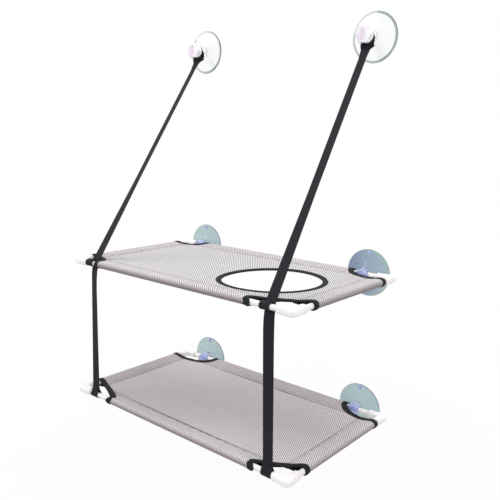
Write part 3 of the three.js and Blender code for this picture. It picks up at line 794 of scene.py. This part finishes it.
def node_group(name, inputs):
    """An empty Geometry Nodes tree with named inputs; None stands for the mesh it is given."""
    kinds = {int: "NodeSocketInt", float: "NodeSocketFloat", bpy.types.Material: "NodeSocketMaterial"}
    tree = bpy.data.node_groups.new(name, "GeometryNodeTree")
    for label, value in inputs.items():
        kind = "NodeSocketGeometry" if value is None else kinds[type(value)]
        socket = tree.interface.new_socket(label, in_out="INPUT", socket_type=kind)
        if value is not None:
            socket.default_value = value
    tree.interface.new_socket("Geometry", in_out="OUTPUT", socket_type="NodeSocketGeometry")
    node = partial(add_node, tree)
    return tree, node, node("NodeGroupInput").node.outputs


def finish_tree(node, geometry, finish):
    """Ends a tree in Realize Instances, smooth shading and Set Material."""
    real = node("GeometryNodeRealizeInstances", (geometry,))
    smooth = node("GeometryNodeSetShadeSmooth", (real,))
    node("NodeGroupOutput", (node("GeometryNodeSetMaterial", {0: smooth, "Material": finish}),))


def from_tree(name, tree, values, mesh=None):
    """A plain mesh piece made by a tree with these input values, from a mesh where it needs one."""
    piece = linked(bpy.data.objects.new(name, mesh or bpy.data.meshes.new(name)))
    step = piece.modifiers.new("made", "NODES")
    step.node_group = tree
    for item in tree.interface.items_tree:
        if item.in_out == "INPUT" and item.name in values:
            step[item.identifier] = values[item.name]
    return apply_modifiers(piece)


def lobed_nut_tree():
    sizes = {"Radius": 17.3 * MM, "Length": 9.5 * MM, "Lobe depth": 2.6 * MM, "Lobes": 6, "Edge": 2 * MM}
    tree, node, size = node_group("lobed_nut", {**sizes, "Recess": 1.1 * MM})
    fineness = {"Vertices": 96, "Side Segments": 16, "Fill Segments": 16}
    blank = node("GeometryNodeMeshCylinder", {**fineness, "Radius": 1.0, "Depth": 1.0})
    across, up, depth = node("SeparateXYZ", (node("GeometryNodeInputPosition"),)).node.outputs
    # The lobes: the radius dips between them by a wave of the angle
    turns = node("Math MULTIPLY", (node("Math ARCTAN2", (up, across)), size["Lobes"]))
    trough = node("Math SUBTRACT", (1.0, node("Math COSINE", (turns,))))
    dip = node("Math MULTIPLY", (trough, node("Math MULTIPLY", (size["Lobe depth"], 0.5))))
    # The edges: a quarter circle draws the rim in at both ends
    level = node("Math ABSOLUTE", (node("Math MULTIPLY", (depth, size["Length"])),))
    flat_to = node("Math SUBTRACT", (node("Math MULTIPLY", (size["Length"], 0.5)), size["Edge"]))
    beyond = node("Math MAXIMUM", (node("Math SUBTRACT", (level, flat_to)), 0.0))
    past = node("Math DIVIDE", (beyond, size["Edge"]))
    left = node("Math SUBTRACT", (1.0, node("Math MULTIPLY", (past, past))))
    arc = node("Math SQRT", (node("Math MAXIMUM", (left, 0.0)),))
    drawn_in = node("Math MULTIPLY", (node("Math SUBTRACT", (1.0, arc)), size["Edge"]))
    radius = node("Math SUBTRACT", (node("Math SUBTRACT", (size["Radius"], dip)), drawn_in))
    x, y = (node("Math MULTIPLY", (value, radius)) for value in (across, up))
    # The face: an upright oval recess in a very slight dome
    wide, tall = node("Math DIVIDE", (x, RECESS_HALF_WIDTH)), node("Math DIVIDE", (y, RECESS_HALF_HEIGHT))
    oval = node("Math MULTIPLY_ADD", (wide, wide, node("Math MULTIPLY", (tall, tall))))
    inside = node("MapRange", (oval, 1.25, 0.7), interpolation_type="SMOOTHSTEP")
    in_front = node("Math GREATER_THAN", (depth, 0.49))
    recess = node("Math MULTIPLY", (node("Math MULTIPLY", (inside, in_front)), size["Recess"]))
    squares = node("Math MULTIPLY_ADD", (up, up, node("Math MULTIPLY", (across, across))))
    dome = node("Math MULTIPLY", (squares, node("Math MULTIPLY", (in_front, DOME))))
    lowered = node("Math ADD", (recess, dome))
    z = node("Math SUBTRACT", (node("Math MULTIPLY", (depth, size["Length"])), lowered))
    moved = {0: blank, "Position": node("CombineXYZ", (x, y, z))}
    finish_tree(node, node("GeometryNodeSetPosition", moved), NUT_PLASTIC)
    return tree


NUT_TREE = lobed_nut_tree()
TO_ROOM = Matrix(((1, 0, 0), (0, 0, -1), (0, 1, 0))).to_4x4()
COLLAR_EDGE = [(1.0, 0.0), (0.35, 0.1), (0.0, 0.4), (0.0, 1.0)]


def add_nut(side):
    name = f"top_{side}_hand_nut"
    low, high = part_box(name)
    middle = middle_of(name)
    values = {"Length": high[1] - low[1], "Radius": (high[2] - low[2]) / 2 + NUT_SPARE}
    nut = from_tree(name + "_lobed", NUT_TREE, values)
    nut.data.transform(Matrix.Translation(Vector(middle)) @ TO_ROOM)
    mark_from_middle(nut, middle[0], middle[2])
    return seat(nut, f"{side}_nut", "hand_nut", name)


def add_collar(side):
    name = f"top_{side}_collar"
    low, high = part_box(name)
    length, radius, (x, _, z) = high[1] - low[1], (high[0] - low[0]) / 2, middle_of(name)
    near = [(radius - a * MM, b * MM) for a, b in COLLAR_EDGE]
    line = [(STUD_HOLE, 0.0)] + near + [(r, length - h) for r, h in reversed(near)] + [(STUD_HOLE, length)]
    line = [(r, h - high[1]) for r, h in line]
    collar = turned_piece(name + "_round", line, (x, 0, z), ROOM, NUT_PLASTIC, 72)
    # Marked from 20 mm to its left, so that the whole collar counts as the nut's lit side
    mark_from_middle(collar, x - 20 * MM, z)
    return seat(smooth_by_angle(collar, 50), f"{side}_collar", "hand_nut", name)


for side in SIDES:
    add_nut(side)
    add_collar(side)
    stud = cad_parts[f"top_{side}_stud"]
    stud.data.materials.clear()
    stud.data.materials.append(ZINC)
print("two nuts with six lobes, on studs that stay as packed")

# %% [markdown]
# ## The shape of a sling
#
# A sling is one cut of mesh cloth. Its four edges are folded round the tubes as sleeves and
# sewn down 30 mm in, and a curved piece is cut away at each corner to leave room for the elbow.
# It is stretched, not draped, so its shape is a rule and a simulation would add little:
# straight over the tubes, down to the hem's seam, and a slow sag to the middle. The function
# below takes a place on the flat cloth and gives its place in the round. Past the tube's crown
# the cloth turns round the tube, and past half a turn it comes back below as the hem's second
# ply.

# %% From flat cloth to its place in the round
CLOTH_HALF = 0.5 * MM
WRAP_RADIUS = 6.3 * MM
WRAP_TURN = math.pi * WRAP_RADIUS
SEAM_HEIGHT = {"upper": 3.2 * MM, "lower": 1.6 * MM}
SAG = {"upper": 5 * MM, "lower": 15 * MM}
# Reach of each free edge along the front or back tube and along the side tube, in mm, and the
# power of its curve: 2 is an oval and 1 a straight line
CUTS = {
    "upper_front_left": (57, 30, 2.0),
    "upper_front_right": (86, 48, 1.25),
    "upper_back_right": (78, 33, 2.0),
    "upper_back_left": (60, 33, 2.0),
    "lower_front_left": (91, 39, 1.25),
    "lower_front_right": (70, 43, 1.25),
    "lower_back_right": (77, 31, 2.0),
    "lower_back_left": (93, 36, 2.0),
}
HOLE_X, HOLE_Y = (float(v) for v in middle_of("upper_hole_binding")[:2])
HOLE_FLAT = np.array([HOLE_X, HOLE_Y - MIDDLE_Y])
HOLE_RADIUS = float(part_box("upper_hole_binding")[1][0]) - HOLE_X
PUCKER_REACH = 12 * MM


def ease(t):
    t = np.clip(t, 0, 1)
    return t * t * (3 - 2 * t)


def cloth_height(tier, u, v):
    """Height of the cloth over the tube axes, for flat places inside the frame."""
    to_side, to_end = HALF_WIDTH - np.abs(u), HALF_DEPTH - np.abs(v)
    rise = (WRAP_RADIUS - SEAM_HEIGHT[tier]) * (1 - ease(np.minimum(to_side, to_end) / HEM))
    inner_u, inner_v = HALF_WIDTH - HEM * 0.6, HALF_DEPTH - HEM * 0.6
    bowl = np.clip(1 - (u / inner_u) ** 2, 0, 1) * np.clip(1 - (v / inner_v) ** 2, 0, 1)
    by_end, by_side = (np.exp(-(((to - HEM) / PUCKER_REACH) ** 2)) for to in (to_end, to_side))
    # Puckers along the seams, about 20 mm apart, and a slow unevenness in the bowl, in mm
    pull = 0.25 * np.sin(u * 2 * math.pi / (21 * MM) + 3 * np.sin(v * 31)) * by_end
    pull += 0.22 * np.sin(v * 2 * math.pi / (19 * MM) + 2 * np.sin(u * 27)) * by_side
    slack = 0.35 * np.sin(u * 23 + 1.3) * np.sin(v * 29 + 0.4) * bowl
    return SEAM_HEIGHT[tier] + rise - SAG[tier] * bowl + (pull + slack) * MM


def cloth_point(tier, flat):
    """The middle of the cloth in the round, from flat places (across, from front to back)."""
    u, v = flat[..., 0], flat[..., 1]
    x, y = np.clip(u, -HALF_WIDTH, HALF_WIDTH), np.clip(v, -HALF_DEPTH, HALF_DEPTH)
    z = cloth_height(tier, x, y)
    for value, limit, place in ((u, HALF_WIDTH, x), (v, HALF_DEPTH, y)):
        over = np.abs(value) - limit
        turn = np.clip(over / WRAP_RADIUS, 0, math.pi)
        back = np.clip(over - WRAP_TURN, 0, None)
        below = -WRAP_RADIUS + (SEAM_HEIGHT[tier] - 1.1 * MM + WRAP_RADIUS) * ease(back / HEM)
        out = over > 0
        place[out] = (np.sign(value) * (limit + WRAP_RADIUS * np.sin(turn) - back))[out]
        z[out] = np.where(back > 0, below, WRAP_RADIUS * np.cos(turn))[out]
    return np.stack([x, y + MIDDLE_Y, z + TIER_Z[tier]], -1)


def on_cloth(tier, flat, height, step=0.2 * MM):
    """Places at a height over the cloth, square to it by short steps both ways on the flat."""
    moves = np.eye(2) * step
    across, deep = (cloth_point(tier, flat + move) - cloth_point(tier, flat - move) for move in moves)
    normal = np.cross(across, deep)
    normal /= np.linalg.norm(normal, axis=-1, keepdims=True)
    return cloth_point(tier, flat) + normal * height


print("a sleeve takes", round(WRAP_TURN * 1000 + 60, 1), "mm of cloth past the tube's crown")

# %% [markdown]
# ## The two slings
#
# The sheet is a grid on the flat cloth with lines about 3 mm apart, and closer round the tubes.
# Squares inside a cut-out or the round way up are left out, so the grid's edge is a small
# staircase, which the binding tape covers. The flat coordinates become the UV map, and Solidify
# gives the cloth its thickness. A boolean cut would make a finer edge, but it would also make
# long thin faces that shade badly on a bent sheet.

# %% Slings
GRID = 3.2 * MM
# How far past a corner's cut edge the cloth starts, as a share of the cut, and how far it runs
# under the tape of the way up
CUT_SPARE_SHARE, HOLE_SPARE = 0.055, 5 * MM


def grid_lines(limit):
    """Flat places across the panel, round the tube, and under it to the seam."""
    inner = list(np.linspace(-limit, limit, round(2 * limit / GRID) + 1))
    flap = [limit + WRAP_TURN * i / 12 for i in range(1, 13)]
    flap += [limit + WRAP_TURN + HEM * i / 9 for i in range(1, 10)]
    return np.array([-x for x in reversed(flap)] + inner + flap)


def from_tube(value, limit):
    """Distance in plan from a tube's axis, on the panel, round the tube and on the lower ply."""
    over = np.abs(value) - limit
    turned = WRAP_RADIUS * np.sin(np.clip(over / WRAP_RADIUS, 0, math.pi))
    return np.where(over <= 0, -over, np.clip(over - WRAP_TURN, 0, None) - turned)


def off_cut(tier, flat):
    """How far flat places lie past the nearest corner's cut edge, as a share of its size."""
    u, v = flat[..., 0], flat[..., 1]
    share = np.zeros(u.shape)
    for corner in CORNERS:
        cut, depth, power = CUTS[f"{tier}_{corner}"]
        here = ((u > 0) == ("right" in corner)) & ((v < 0) == ("front" in corner))
        across = np.abs(from_tube(u, HALF_WIDTH)) / (cut * MM)
        deep = np.abs(from_tube(v, HALF_DEPTH)) / (depth * MM)
        share = np.where(here, (across**power + deep**power) ** (1 / power), share)
    return share - 1


def off_hole(tier, flat):
    """How far flat places lie outside the round way up, which only the upper tier has."""
    away = np.linalg.norm(flat - HOLE_FLAT, axis=-1) - HOLE_RADIUS
    return away if tier == "upper" else np.ones(away.shape)


def add_sling(tier, finish):
    """The sling, and the flat area that its corners and its way up leave."""
    flat = np.stack(np.meshgrid(grid_lines(HALF_WIDTH), grid_lines(HALF_DEPTH), indexing="ij"), -1)
    middle = (flat[:-1, :-1] + flat[1:, 1:]) / 2
    keep = (off_cut(tier, middle) > CUT_SPARE_SHARE) & (off_hole(tier, middle) > -HOLE_SPARE)
    keep &= ~(np.abs(middle) > (HALF_WIDTH, HALF_DEPTH)).all(-1)
    area = (flat[1:, 1:] - flat[:-1, :-1]).prod(-1)[keep].sum()
    rows = flat.shape[1]
    i, j = np.nonzero(keep)
    corner = i * rows + j
    faces = np.stack([corner, corner + rows, corner + rows + 1, corner + 1], 1)
    used, faces = np.unique(faces, return_inverse=True)
    flat = flat.reshape(-1, 2)[used]
    points = cloth_point(tier, flat)
    piece = mesh_piece(f"{tier}_mesh_sling", points, faces.reshape(-1, 4), finish, uv=flat)
    add_modifier(piece, "SOLIDIFY", thickness=2 * CLOTH_HALF, offset=0.0, use_even_offset=True)
    return seat(piece, tier + "_tier", "sling_mesh", f"{tier}_sling"), float(area)


slings, flat_area = {}, {}
for tier, finish in (("upper", UPPER_MESH), ("lower", LOWER_MESH)):
    slings[tier], flat_area[tier] = add_sling(tier, finish)
    faces = len(slings[tier].data.polygons)
    print(tier, "sling of", faces, "faces and", round(flat_area[tier], 4), "square metres")

# %% [markdown]
# ## Binding tape
#
# Every cut edge is bound with black grosgrain, 10 mm of it showing on each side and a little
# less round the way up. The tape is a folded strip: one leg on top, a turn round the edge, one
# leg below. Its path is the cut edge, which starts under one tube, goes round it, runs over the
# panel and ends under the other tube. The strip's section is moved along that path on the
# cloth itself, so it takes the cloth's bend and sag.

# %% Bindings of the corners and of the way up
TAPE, RING_TAPE, TAPE_THICK = 10 * MM, 9.4 * MM, 1.0 * MM
UNDER_REACH = 28.5 * MM
TURN_STEPS, UNDER_STEPS = 15, 11


def skin(rows, around, ring=False):
    """Faces between rows of points, each closed round; a ring closes on its first row too."""
    faces = []
    for i in range(rows if ring else rows - 1):
        j = (i + 1) % rows
        for k in range(around):
            m = (k + 1) % around
            faces.append((i * around + k, j * around + k, j * around + m, i * around + m))
    if not ring:
        faces += [tuple(range(around)), tuple((rows - 1) * around + k for k in reversed(range(around)))]
    return faces


def run_lengths(path):
    """How far along a path each of its points lies."""
    return np.concatenate([[0], np.cumsum(np.linalg.norm(np.diff(path, axis=0), axis=1))])


def corner_path(tier, corner):
    """The cut edge of one corner as flat places, from under one tube to under the other."""
    cut, depth, power = CUTS[f"{tier}_{corner}"]
    cut, depth = cut * MM, depth * MM
    turns = np.linspace(0, math.pi, TURN_STEPS + 1)[1:]
    backs = np.linspace(0, UNDER_REACH, UNDER_STEPS + 1)[1:]
    plan = np.concatenate([WRAP_RADIUS * np.sin(turns), backs])
    past = np.concatenate([WRAP_RADIUS * turns, WRAP_TURN + backs])
    by_front = cut * (1 - (plan / depth) ** power) ** (1 / power)
    by_side = depth * (1 - (plan / cut) ** power) ** (1 / power)
    quarter = np.linspace(0, math.pi / 2, 60)
    across, deep = (np.maximum(x, 0) ** (2 / power) for x in (np.cos(quarter), np.sin(quarter)))
    first = np.stack([HALF_WIDTH - by_front, HALF_DEPTH + past], 1)[::-1]
    panel = np.stack([HALF_WIDTH - cut * across, HALF_DEPTH - depth * deep], 1)
    last = np.stack([HALF_WIDTH + past, HALF_DEPTH - by_side], 1)
    signs = (1 if "right" in corner else -1), (-1 if "front" in corner else 1)
    return np.concatenate([first, panel, last]) * signs


def away_from_cut(path):
    """Unit directions on the flat, square to a corner's path and pointing into the cloth."""
    along = np.gradient(path, axis=0)
    across = np.stack([-along[:, 1], along[:, 0]], 1)
    across /= np.linalg.norm(across, axis=1, keepdims=True)
    middle = len(path) // 2
    corner = np.sign(path[middle]) * (HALF_WIDTH, HALF_DEPTH)
    return across if across[middle] @ (path[middle] - corner) > 0 else -across


def tape_section(width):
    """Closed outline of the folded tape: (distance onto the cloth, height over its middle)."""
    c, t, w = CLOTH_HALF + 0.05 * MM, TAPE_THICK, width / MM
    top = [(w, c), (w + 0.05, c + t * 0.5), (w - 0.2, c + t), (w * 0.66, c + t * 1.1)]
    top += [(w * 0.33, c + t * 1.2), (0.8, c + t)]
    turn = [(-0.1, c + t * 0.6), (-0.55, 0.0)]
    low = [(x, -z) for x, z in reversed(top + turn[:1])]
    inner = [(0.3, -c * 0.9), (0.3, c * 0.9)]
    return [(x * MM, z) for x, z in top + turn + low + inner]


def sweep_on_cloth(name, tier, path, into, width, closed):
    """Tape along a path on the flat cloth. The underside has its own place on the flat map."""
    section, lengths = tape_section(width), run_lengths(path)
    points = np.stack([on_cloth(tier, path + into * onto, height) for onto, height in section], 1)
    aside = [onto + (20 * MM if height < 0 else 0) for onto, height in section]
    flat = np.stack([np.tile(aside, (len(path), 1)), np.repeat(lengths[:, None], len(section), 1)], -1)
    faces = skin(len(path), len(section), ring=closed)
    piece = mesh_piece(name + "_tape", points.reshape(-1, 3), faces, BINDING_TAPE, uv=flat.reshape(-1, 2))
    seat(smooth_by_angle(face_outwards(piece), 60), tier + "_tier", "binding_tape", name)
    return piece


# Each bound edge's path and its directions into the cloth, and whether it is a ring
bindings, edges = {tier: [] for tier in TIERS}, {tier: [] for tier in TIERS}
for tier in TIERS:
    for corner in CORNERS:
        path = corner_path(tier, corner)
        into = away_from_cut(path)
        bindings[tier].append(sweep_on_cloth(f"{tier}_{corner}_binding", tier, path, into, TAPE, False))
        edges[tier].append((path, into, False))
angles = np.linspace(0, 2 * math.pi, 240, endpoint=False)
ring = np.stack([np.cos(angles), np.sin(angles)], 1)
ring_path = ring * (HOLE_RADIUS - RING_TAPE) + HOLE_FLAT
bindings["upper"].append(sweep_on_cloth("upper_hole_binding", "upper", ring_path, ring, RING_TAPE, True))
edges["upper"].append((ring_path, ring, True))
print(sum(len(pieces) for pieces in bindings.values()), "bound edges")

# %% [markdown]
# ## Stitches
#
# Two rows of thread hold each hem, and one row holds each tape near its edge on the cloth. A
# stitch is the same small bead each time, set along a line at a fixed pitch, so Geometry Nodes
# lay them: the tree turns the lines into curves, puts points along them, and sets a bead on
# each. A bead has few faces, because it is repeated about sixteen hundred times.

# %% Stitches by Geometry Nodes
# How far the two rows stand outside the hem's seam, and how high thread lies on cloth and tape
HEM_ROWS = (2.5 * MM, 7 * MM)
HEM_LIFT, TAPE_LIFT = 0.25 * MM, 0.1 * MM
# How far the hem's rows stop short of a corner's cut, as a share of it, and of the way up
HEM_SPARE_SHARE, RING_SPARE = 0.3, 3 * MM
# Where in the tape's width its row lies, and how high the tape's crown is, by its thickness
TAPE_ROW_SHARE, TAPE_CROWN_SHARE = 0.82, 1.15
BEAD_SEGMENTS, BEAD_RINGS = 8, 5
HEM_STITCH = {"Pitch": 4.2 * MM, "Length": 3.1 * MM, "Thickness": 0.7 * MM, "Thread": HEM_THREAD}
TAPE_STITCH = {"Pitch": 3.2 * MM, "Length": 2.4 * MM, "Thickness": 0.6 * MM, "Thread": DARK_THREAD}


def stitch_tree():
    """Stitches of thread set end to end along every line of the mesh it is given."""
    tree, node, size = node_group("stitches", {"Lines": None, **HEM_STITCH})
    curve = node("GeometryNodeMeshToCurve", (size["Lines"],))
    along = {"Curve": curve, "Length": size["Pitch"]}
    spots = node("GeometryNodeCurveToPoints", along, mode="LENGTH")
    bead = node("GeometryNodeMeshUVSphere", (BEAD_SEGMENTS, BEAD_RINGS, 0.5))
    lying = node("CombineXYZ", (size["Thickness"], size["Thickness"], size["Length"]))
    set_down = {"Points": spots, "Instance": bead, "Scale": lying, "Rotation": spots.node.outputs["Rotation"]}
    finish_tree(node, node("GeometryNodeInstanceOnPoints", set_down), size["Thread"])
    return tree


def stitch_rows(name, lines, stitch, body, slot_name):
    """One piece holding the stitches along these lines of points. Gives their number."""
    points, links = [], []
    for line in lines:
        links += [(i, i + 1) for i in range(len(points), len(points) + len(line) - 1)]
        points += [tuple(p) for p in line]
    mesh = bpy.data.meshes.new(name)
    mesh.from_pydata(points, links, [])
    piece = seat(from_tree(name, STITCH_TREE, stitch, mesh), body, slot_name)
    return len(piece.data.vertices) // (BEAD_SEGMENTS * (BEAD_RINGS - 1) + 2)


def runs(points, keep):
    """The unbroken runs of points where keep is true."""
    breaks = np.flatnonzero(np.diff(keep.astype(int))) + 1
    pieces = zip(np.split(points, breaks), np.split(keep, breaks))
    return [run for run, kept in pieces if kept[0] and len(run) > 2]


def hem_lines(tier, row):
    """One row of the hem, this far outside its seam, where the cuts and the way up leave cloth."""
    lines = []
    reach = np.array([HALF_WIDTH, HALF_DEPTH]) - (HEM - row)
    for start, end in (((-1, -1), (1, -1)), ((-1, 1), (1, 1)), ((-1, -1), (-1, 1)), ((1, -1), (1, 1))):
        flat = reach * np.linspace(start, end, 260)
        keep = (off_cut(tier, flat) > HEM_SPARE_SHARE) & (off_hole(tier, flat) > RING_SPARE)
        lines += runs(on_cloth(tier, flat, CLOTH_HALF + HEM_LIFT), keep)
    return lines


def tape_line(tier, path, into, closed):
    """The row of stitches on one tape, between the tubes or all the way round."""
    hidden = TURN_STEPS + UNDER_STEPS + 1
    flat = path + into * (RING_TAPE if closed else TAPE) * TAPE_ROW_SHARE
    flat = np.vstack([flat, flat[:1]]) if closed else flat[hidden:-hidden]
    return on_cloth(tier, flat, CLOTH_HALF + TAPE_THICK * TAPE_CROWN_SHARE + TAPE_LIFT)


STITCH_TREE = stitch_tree()
count = 0
for tier in TIERS:
    hems = [line for row in HEM_ROWS for line in hem_lines(tier, row)]
    tapes = [tape_line(tier, *edge) for edge in edges[tier]]
    count += stitch_rows(f"{tier}_hem_stitches", hems, HEM_STITCH, tier + "_tier", "sling_mesh")
    count += stitch_rows(f"{tier}_tape_stitches", tapes, TAPE_STITCH, tier + "_tier", "binding_tape")
print(count, "stitches")

# %% [markdown]
# ## Straps
#
# One length of 20 mm webbing hangs each side. At the top it is gathered round the cup's neck
# behind the collar, then it slants out to the front tube, takes a turn round it, drops to the
# lower tier and ends in a sewn loop round that tube. A strap is a strip moved along a line: at
# each step it has a middle, a direction across and a width. Webbing that is pressed narrower
# than it was woven stands up in pleats, so the strip also has a pleat height.

# %% Strips of webbing
WEB_WIDTH, WEB_THICK = 20 * MM, 1.4 * MM
# (share of the length, turn from lying along X in degrees, width and pleat height in mm)
SLANT_SHARES = [
    (0, 0, 20, 0),
    (0.05, -2, 20, 0),
    (0.15, -7.2, 20, 0),
    (0.4, -19.8, 20, 0),
    (0.96, -19.8, 20, 0),
    (0.985, -10, 20, 0.3),
    (1, -2, 19.5, 0.6),
]
# The same round the top cup's neck, but the share is the depth below the neck's middle as a
# share of the loop's tail, and a last column says how far the strip is tucked back, in mm
TOP_LOOP_SHARES = [
    (-1, 90, 2.4, 0.1, -4.6),
    (-0.05, 90, 2.6, 0.1, -4.4),
    (0.4, 90, 11.4, 0.5, 0),
    (0.58, 40, 17, 1.0, -1.5),
    (0.75, 10, 19, 0.9, -4.5),
    (1, -2, 19.5, 0.6, -8),
]
# (share of the upright's length, turn from lying along X in degrees)
UPRIGHT_SHARES = {
    "left": [(0, -8), (0.15, -12), (0.6, -7), (1, 0)],
    "right": [(0, 0), (0.1, 6), (0.7, 1), (1, -1)],
}
# How far the upright stands beside its packed middle at its top and at its end
UPRIGHT_SHIFT = {"left": (5 * MM, 3 * MM), "right": (-4 * MM, 3 * MM)}
# (degrees round the upper front tube, distance from its axis in mm, share of the way across)
TUBE_TURN = [(214, 7.7, 0), (290, 6.1, 0), (430, 6.1, 0), (540, 6.1, 1), (590, 6.1, 1)]
# The slant's top end: this far in front of the loop's middle, and above its packed top. Its
# foot stands this far outside the front tube's axis
SLANT_FRONT, SLANT_OVER, SLANT_FOOT = 7 * MM, 1.5 * MM, 7.7 * MM
# Radii of the two loops, and half the gap between the middles of a loop's two tails
NECK_LOOP_RADIUS, TUBE_LOOP_RADIUS, PLY_HALF = 11.6 * MM, 6.05 * MM, 0.75 * MM
LOOP_THICK = 1.2 * MM
# A length for an upright's bend, and how soon its lean fades
BEND_LENGTH, LEAN_SHARE = 40 * MM, 0.05


def between(rows, shares):
    """Values of a table of (share, value, ...) rows at these shares."""
    rows = np.array(rows, float)
    return [np.interp(shares, rows[:, 0], rows[:, k]) for k in range(1, rows.shape[1])]


def across_at(degrees):
    """Directions across a strip that lies level, turned this far from X."""
    turn = np.radians(degrees)
    return np.stack([np.cos(turn), np.sin(turn), 0 * turn], 1)


def webbing_strip(name, middles, across, widths=WEB_WIDTH, pleats=0.0, folds=3, thick=WEB_THICK):
    """A closed strip with rounded edges along a line of middles."""
    name += "_webbing"
    along = np.gradient(middles, axis=0)
    along /= np.linalg.norm(along, axis=1, keepdims=True)
    across = across - along * np.sum(along * across, 1, keepdims=True)
    across /= np.linalg.norm(across, axis=1, keepdims=True)
    normal = np.cross(along, across)
    lengths = run_lengths(middles)
    # The section by shares of the width and the thickness: two faces with rounded edges
    edge = [(-0.5, -0.22), (-0.5, 0.22)]
    top = [(s, 0.5) for s in np.linspace(-0.485, 0.485, 21)]
    section = edge + top + [(-s, -h) for s, h in edge] + [(s, -h) for s, h in reversed(top)]
    points, flat = [], []
    for share, height in section:
        lift = pleats * np.cos(2 * math.pi * folds * share + 0.9 * np.sin(lengths * 90)) + height * thick
        points.append(middles + across * np.reshape(widths * share, (-1, 1)) + normal * lift[:, None])
        flat.append(np.stack([np.full(len(middles), share * WEB_WIDTH), lengths], 1))
    points, flat = (np.stack(x, 1).reshape(-1, x[0].shape[1]) for x in (points, flat))
    piece = mesh_piece(name, points, skin(len(middles), len(section)), WEBBING, uv=flat)
    print(name, round(lengths[-1] * 1000, 1), "mm long")
    return smooth_by_angle(face_outwards(piece), 50)


def loop_line(radius, tail, leaving, knee, arc_steps, steps):
    """A loop round a pin, with both tails side by side above it, as even (sideways, height) steps."""
    ends = [(-PLY_HALF, tail), knee]
    arc = np.linspace(math.pi / 2 + leaving, 2.5 * math.pi - leaving, arc_steps)
    round_pin = [(radius * math.cos(a), radius * math.sin(a)) for a in arc]
    line = np.array(ends + round_pin + [(-x, z) for x, z in reversed(ends)])
    lengths = run_lengths(line)
    even = np.linspace(0, lengths[-1], steps)
    return np.interp(even, lengths, line[:, 0]), np.interp(even, lengths, line[:, 1])


def add_slant_strap(side):
    name = f"{side}_slant_strap"
    loop, top = middle_of(f"{side}_top_loop"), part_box(name)[1][2]
    start_x = float(middle_of(f"{side}_tube_wrap")[0])
    high = np.array([loop[0], loop[1] - SLANT_FRONT, top + SLANT_OVER])
    rise = np.array([0, high[1] - FRONT_Y, high[2]])
    outward = np.array([0, -rise[2], rise[1]]) / np.linalg.norm(rise)
    low = np.array([start_x, FRONT_Y, TIER_Z["upper"]]) - outward * SLANT_FOOT
    shares = np.concatenate([np.linspace(0, 0.88, 90), np.linspace(0.882, 1, 60)])
    turn, width, pleat = between(SLANT_SHARES, shares)
    middles = low + (high - low) * shares[:, None]
    strap = webbing_strip(name, middles, across_at(turn), width * MM, pleat * MM)
    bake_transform(strap)
    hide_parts(name)


def add_top_loop(side):
    name = f"{side}_top_loop"
    x, y, z = *middle_of(name)[:2], middle_of(f"top_{side}_hand_nut")[2]
    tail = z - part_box(name)[0][2]
    leaving = math.acos(NECK_LOOP_RADIUS / tail)
    knee = (-PLY_HALF - 0.4 * MM, tail - 3 * MM)
    sideways, down = loop_line(NECK_LOOP_RADIUS, tail, leaving, knee, 90, 140)
    turn, width, pleat, tucked = between(TOP_LOOP_SHARES, np.clip(down / tail, -1, 1))
    middles = np.stack([x + sideways, y + tucked * MM, z - down], 1)
    loop = webbing_strip(name, middles, across_at(turn), width * MM, pleat * MM, 2, LOOP_THICK)
    seat(loop, "window_anchors", "webbing", name)


def add_turn_and_drop(side):
    """The full turn round the upper front tube, and the upright that hangs from it."""
    x, wrap_x = (float(middle_of(f"{side}_{piece}")[0]) for piece in ("upright_strap", "tube_wrap"))
    top_x, end_x = (x + shift for shift in UPRIGHT_SHIFT[side])
    degrees = np.linspace(TUBE_TURN[0][0], TUBE_TURN[-1][0], 160)
    radius, share = between(TUBE_TURN, degrees)
    turns = np.radians(degrees)
    y, z = FRONT_Y - radius * MM * np.cos(turns), TIER_Z["upper"] + radius * MM * np.sin(turns)
    middles = np.stack([wrap_x + (top_x - wrap_x) * ease(share), y, z], 1)
    wrap = webbing_strip(f"{side}_tube_wrap", middles, across_at(0 * turns))
    seat(wrap, f"{side}_hanger", "webbing", f"{side}_tube_wrap")
    first, last = middles[-1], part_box(f"{side}_tube_loop")[1][2]
    heights = np.linspace(first[2], last + 0.3 * MM, 120)
    shares = (heights - heights[0]) / (heights[-1] - heights[0])
    lean = (first[1] - FRONT_Y) * np.exp(-shares / LEAN_SHARE)
    middles = np.stack([top_x + (end_x - top_x) * shares, FRONT_Y + lean, heights], 1)
    drop = webbing_strip(f"{side}_upright", middles, across_at(between(UPRIGHT_SHARES[side], shares)[0]))
    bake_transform(drop)
    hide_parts(f"{side}_upright_strap")


def add_tube_loop(side):
    name = f"{side}_tube_loop"
    x, z = middle_of(name)[0] + UPRIGHT_SHIFT[side][1], TIER_Z["lower"]
    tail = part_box(name)[1][2] - z
    leaving = math.acos(TUBE_LOOP_RADIUS / (tail - LOOP_THICK))
    knee = (-PLY_HALF, tail - 4 * MM)
    sideways, up = loop_line(TUBE_LOOP_RADIUS, tail, leaving, knee, 60, 110)
    middles = np.stack([np.full(len(up), x), FRONT_Y + sideways, z + up], 1)
    loop = webbing_strip(name, middles, across_at(0 * up))
    seat(loop, f"{side}_hanger", "webbing", name)


for side in SIDES:
    add_slant_strap(side)
    add_top_loop(side)
    add_turn_and_drop(side)
    add_tube_loop(side)
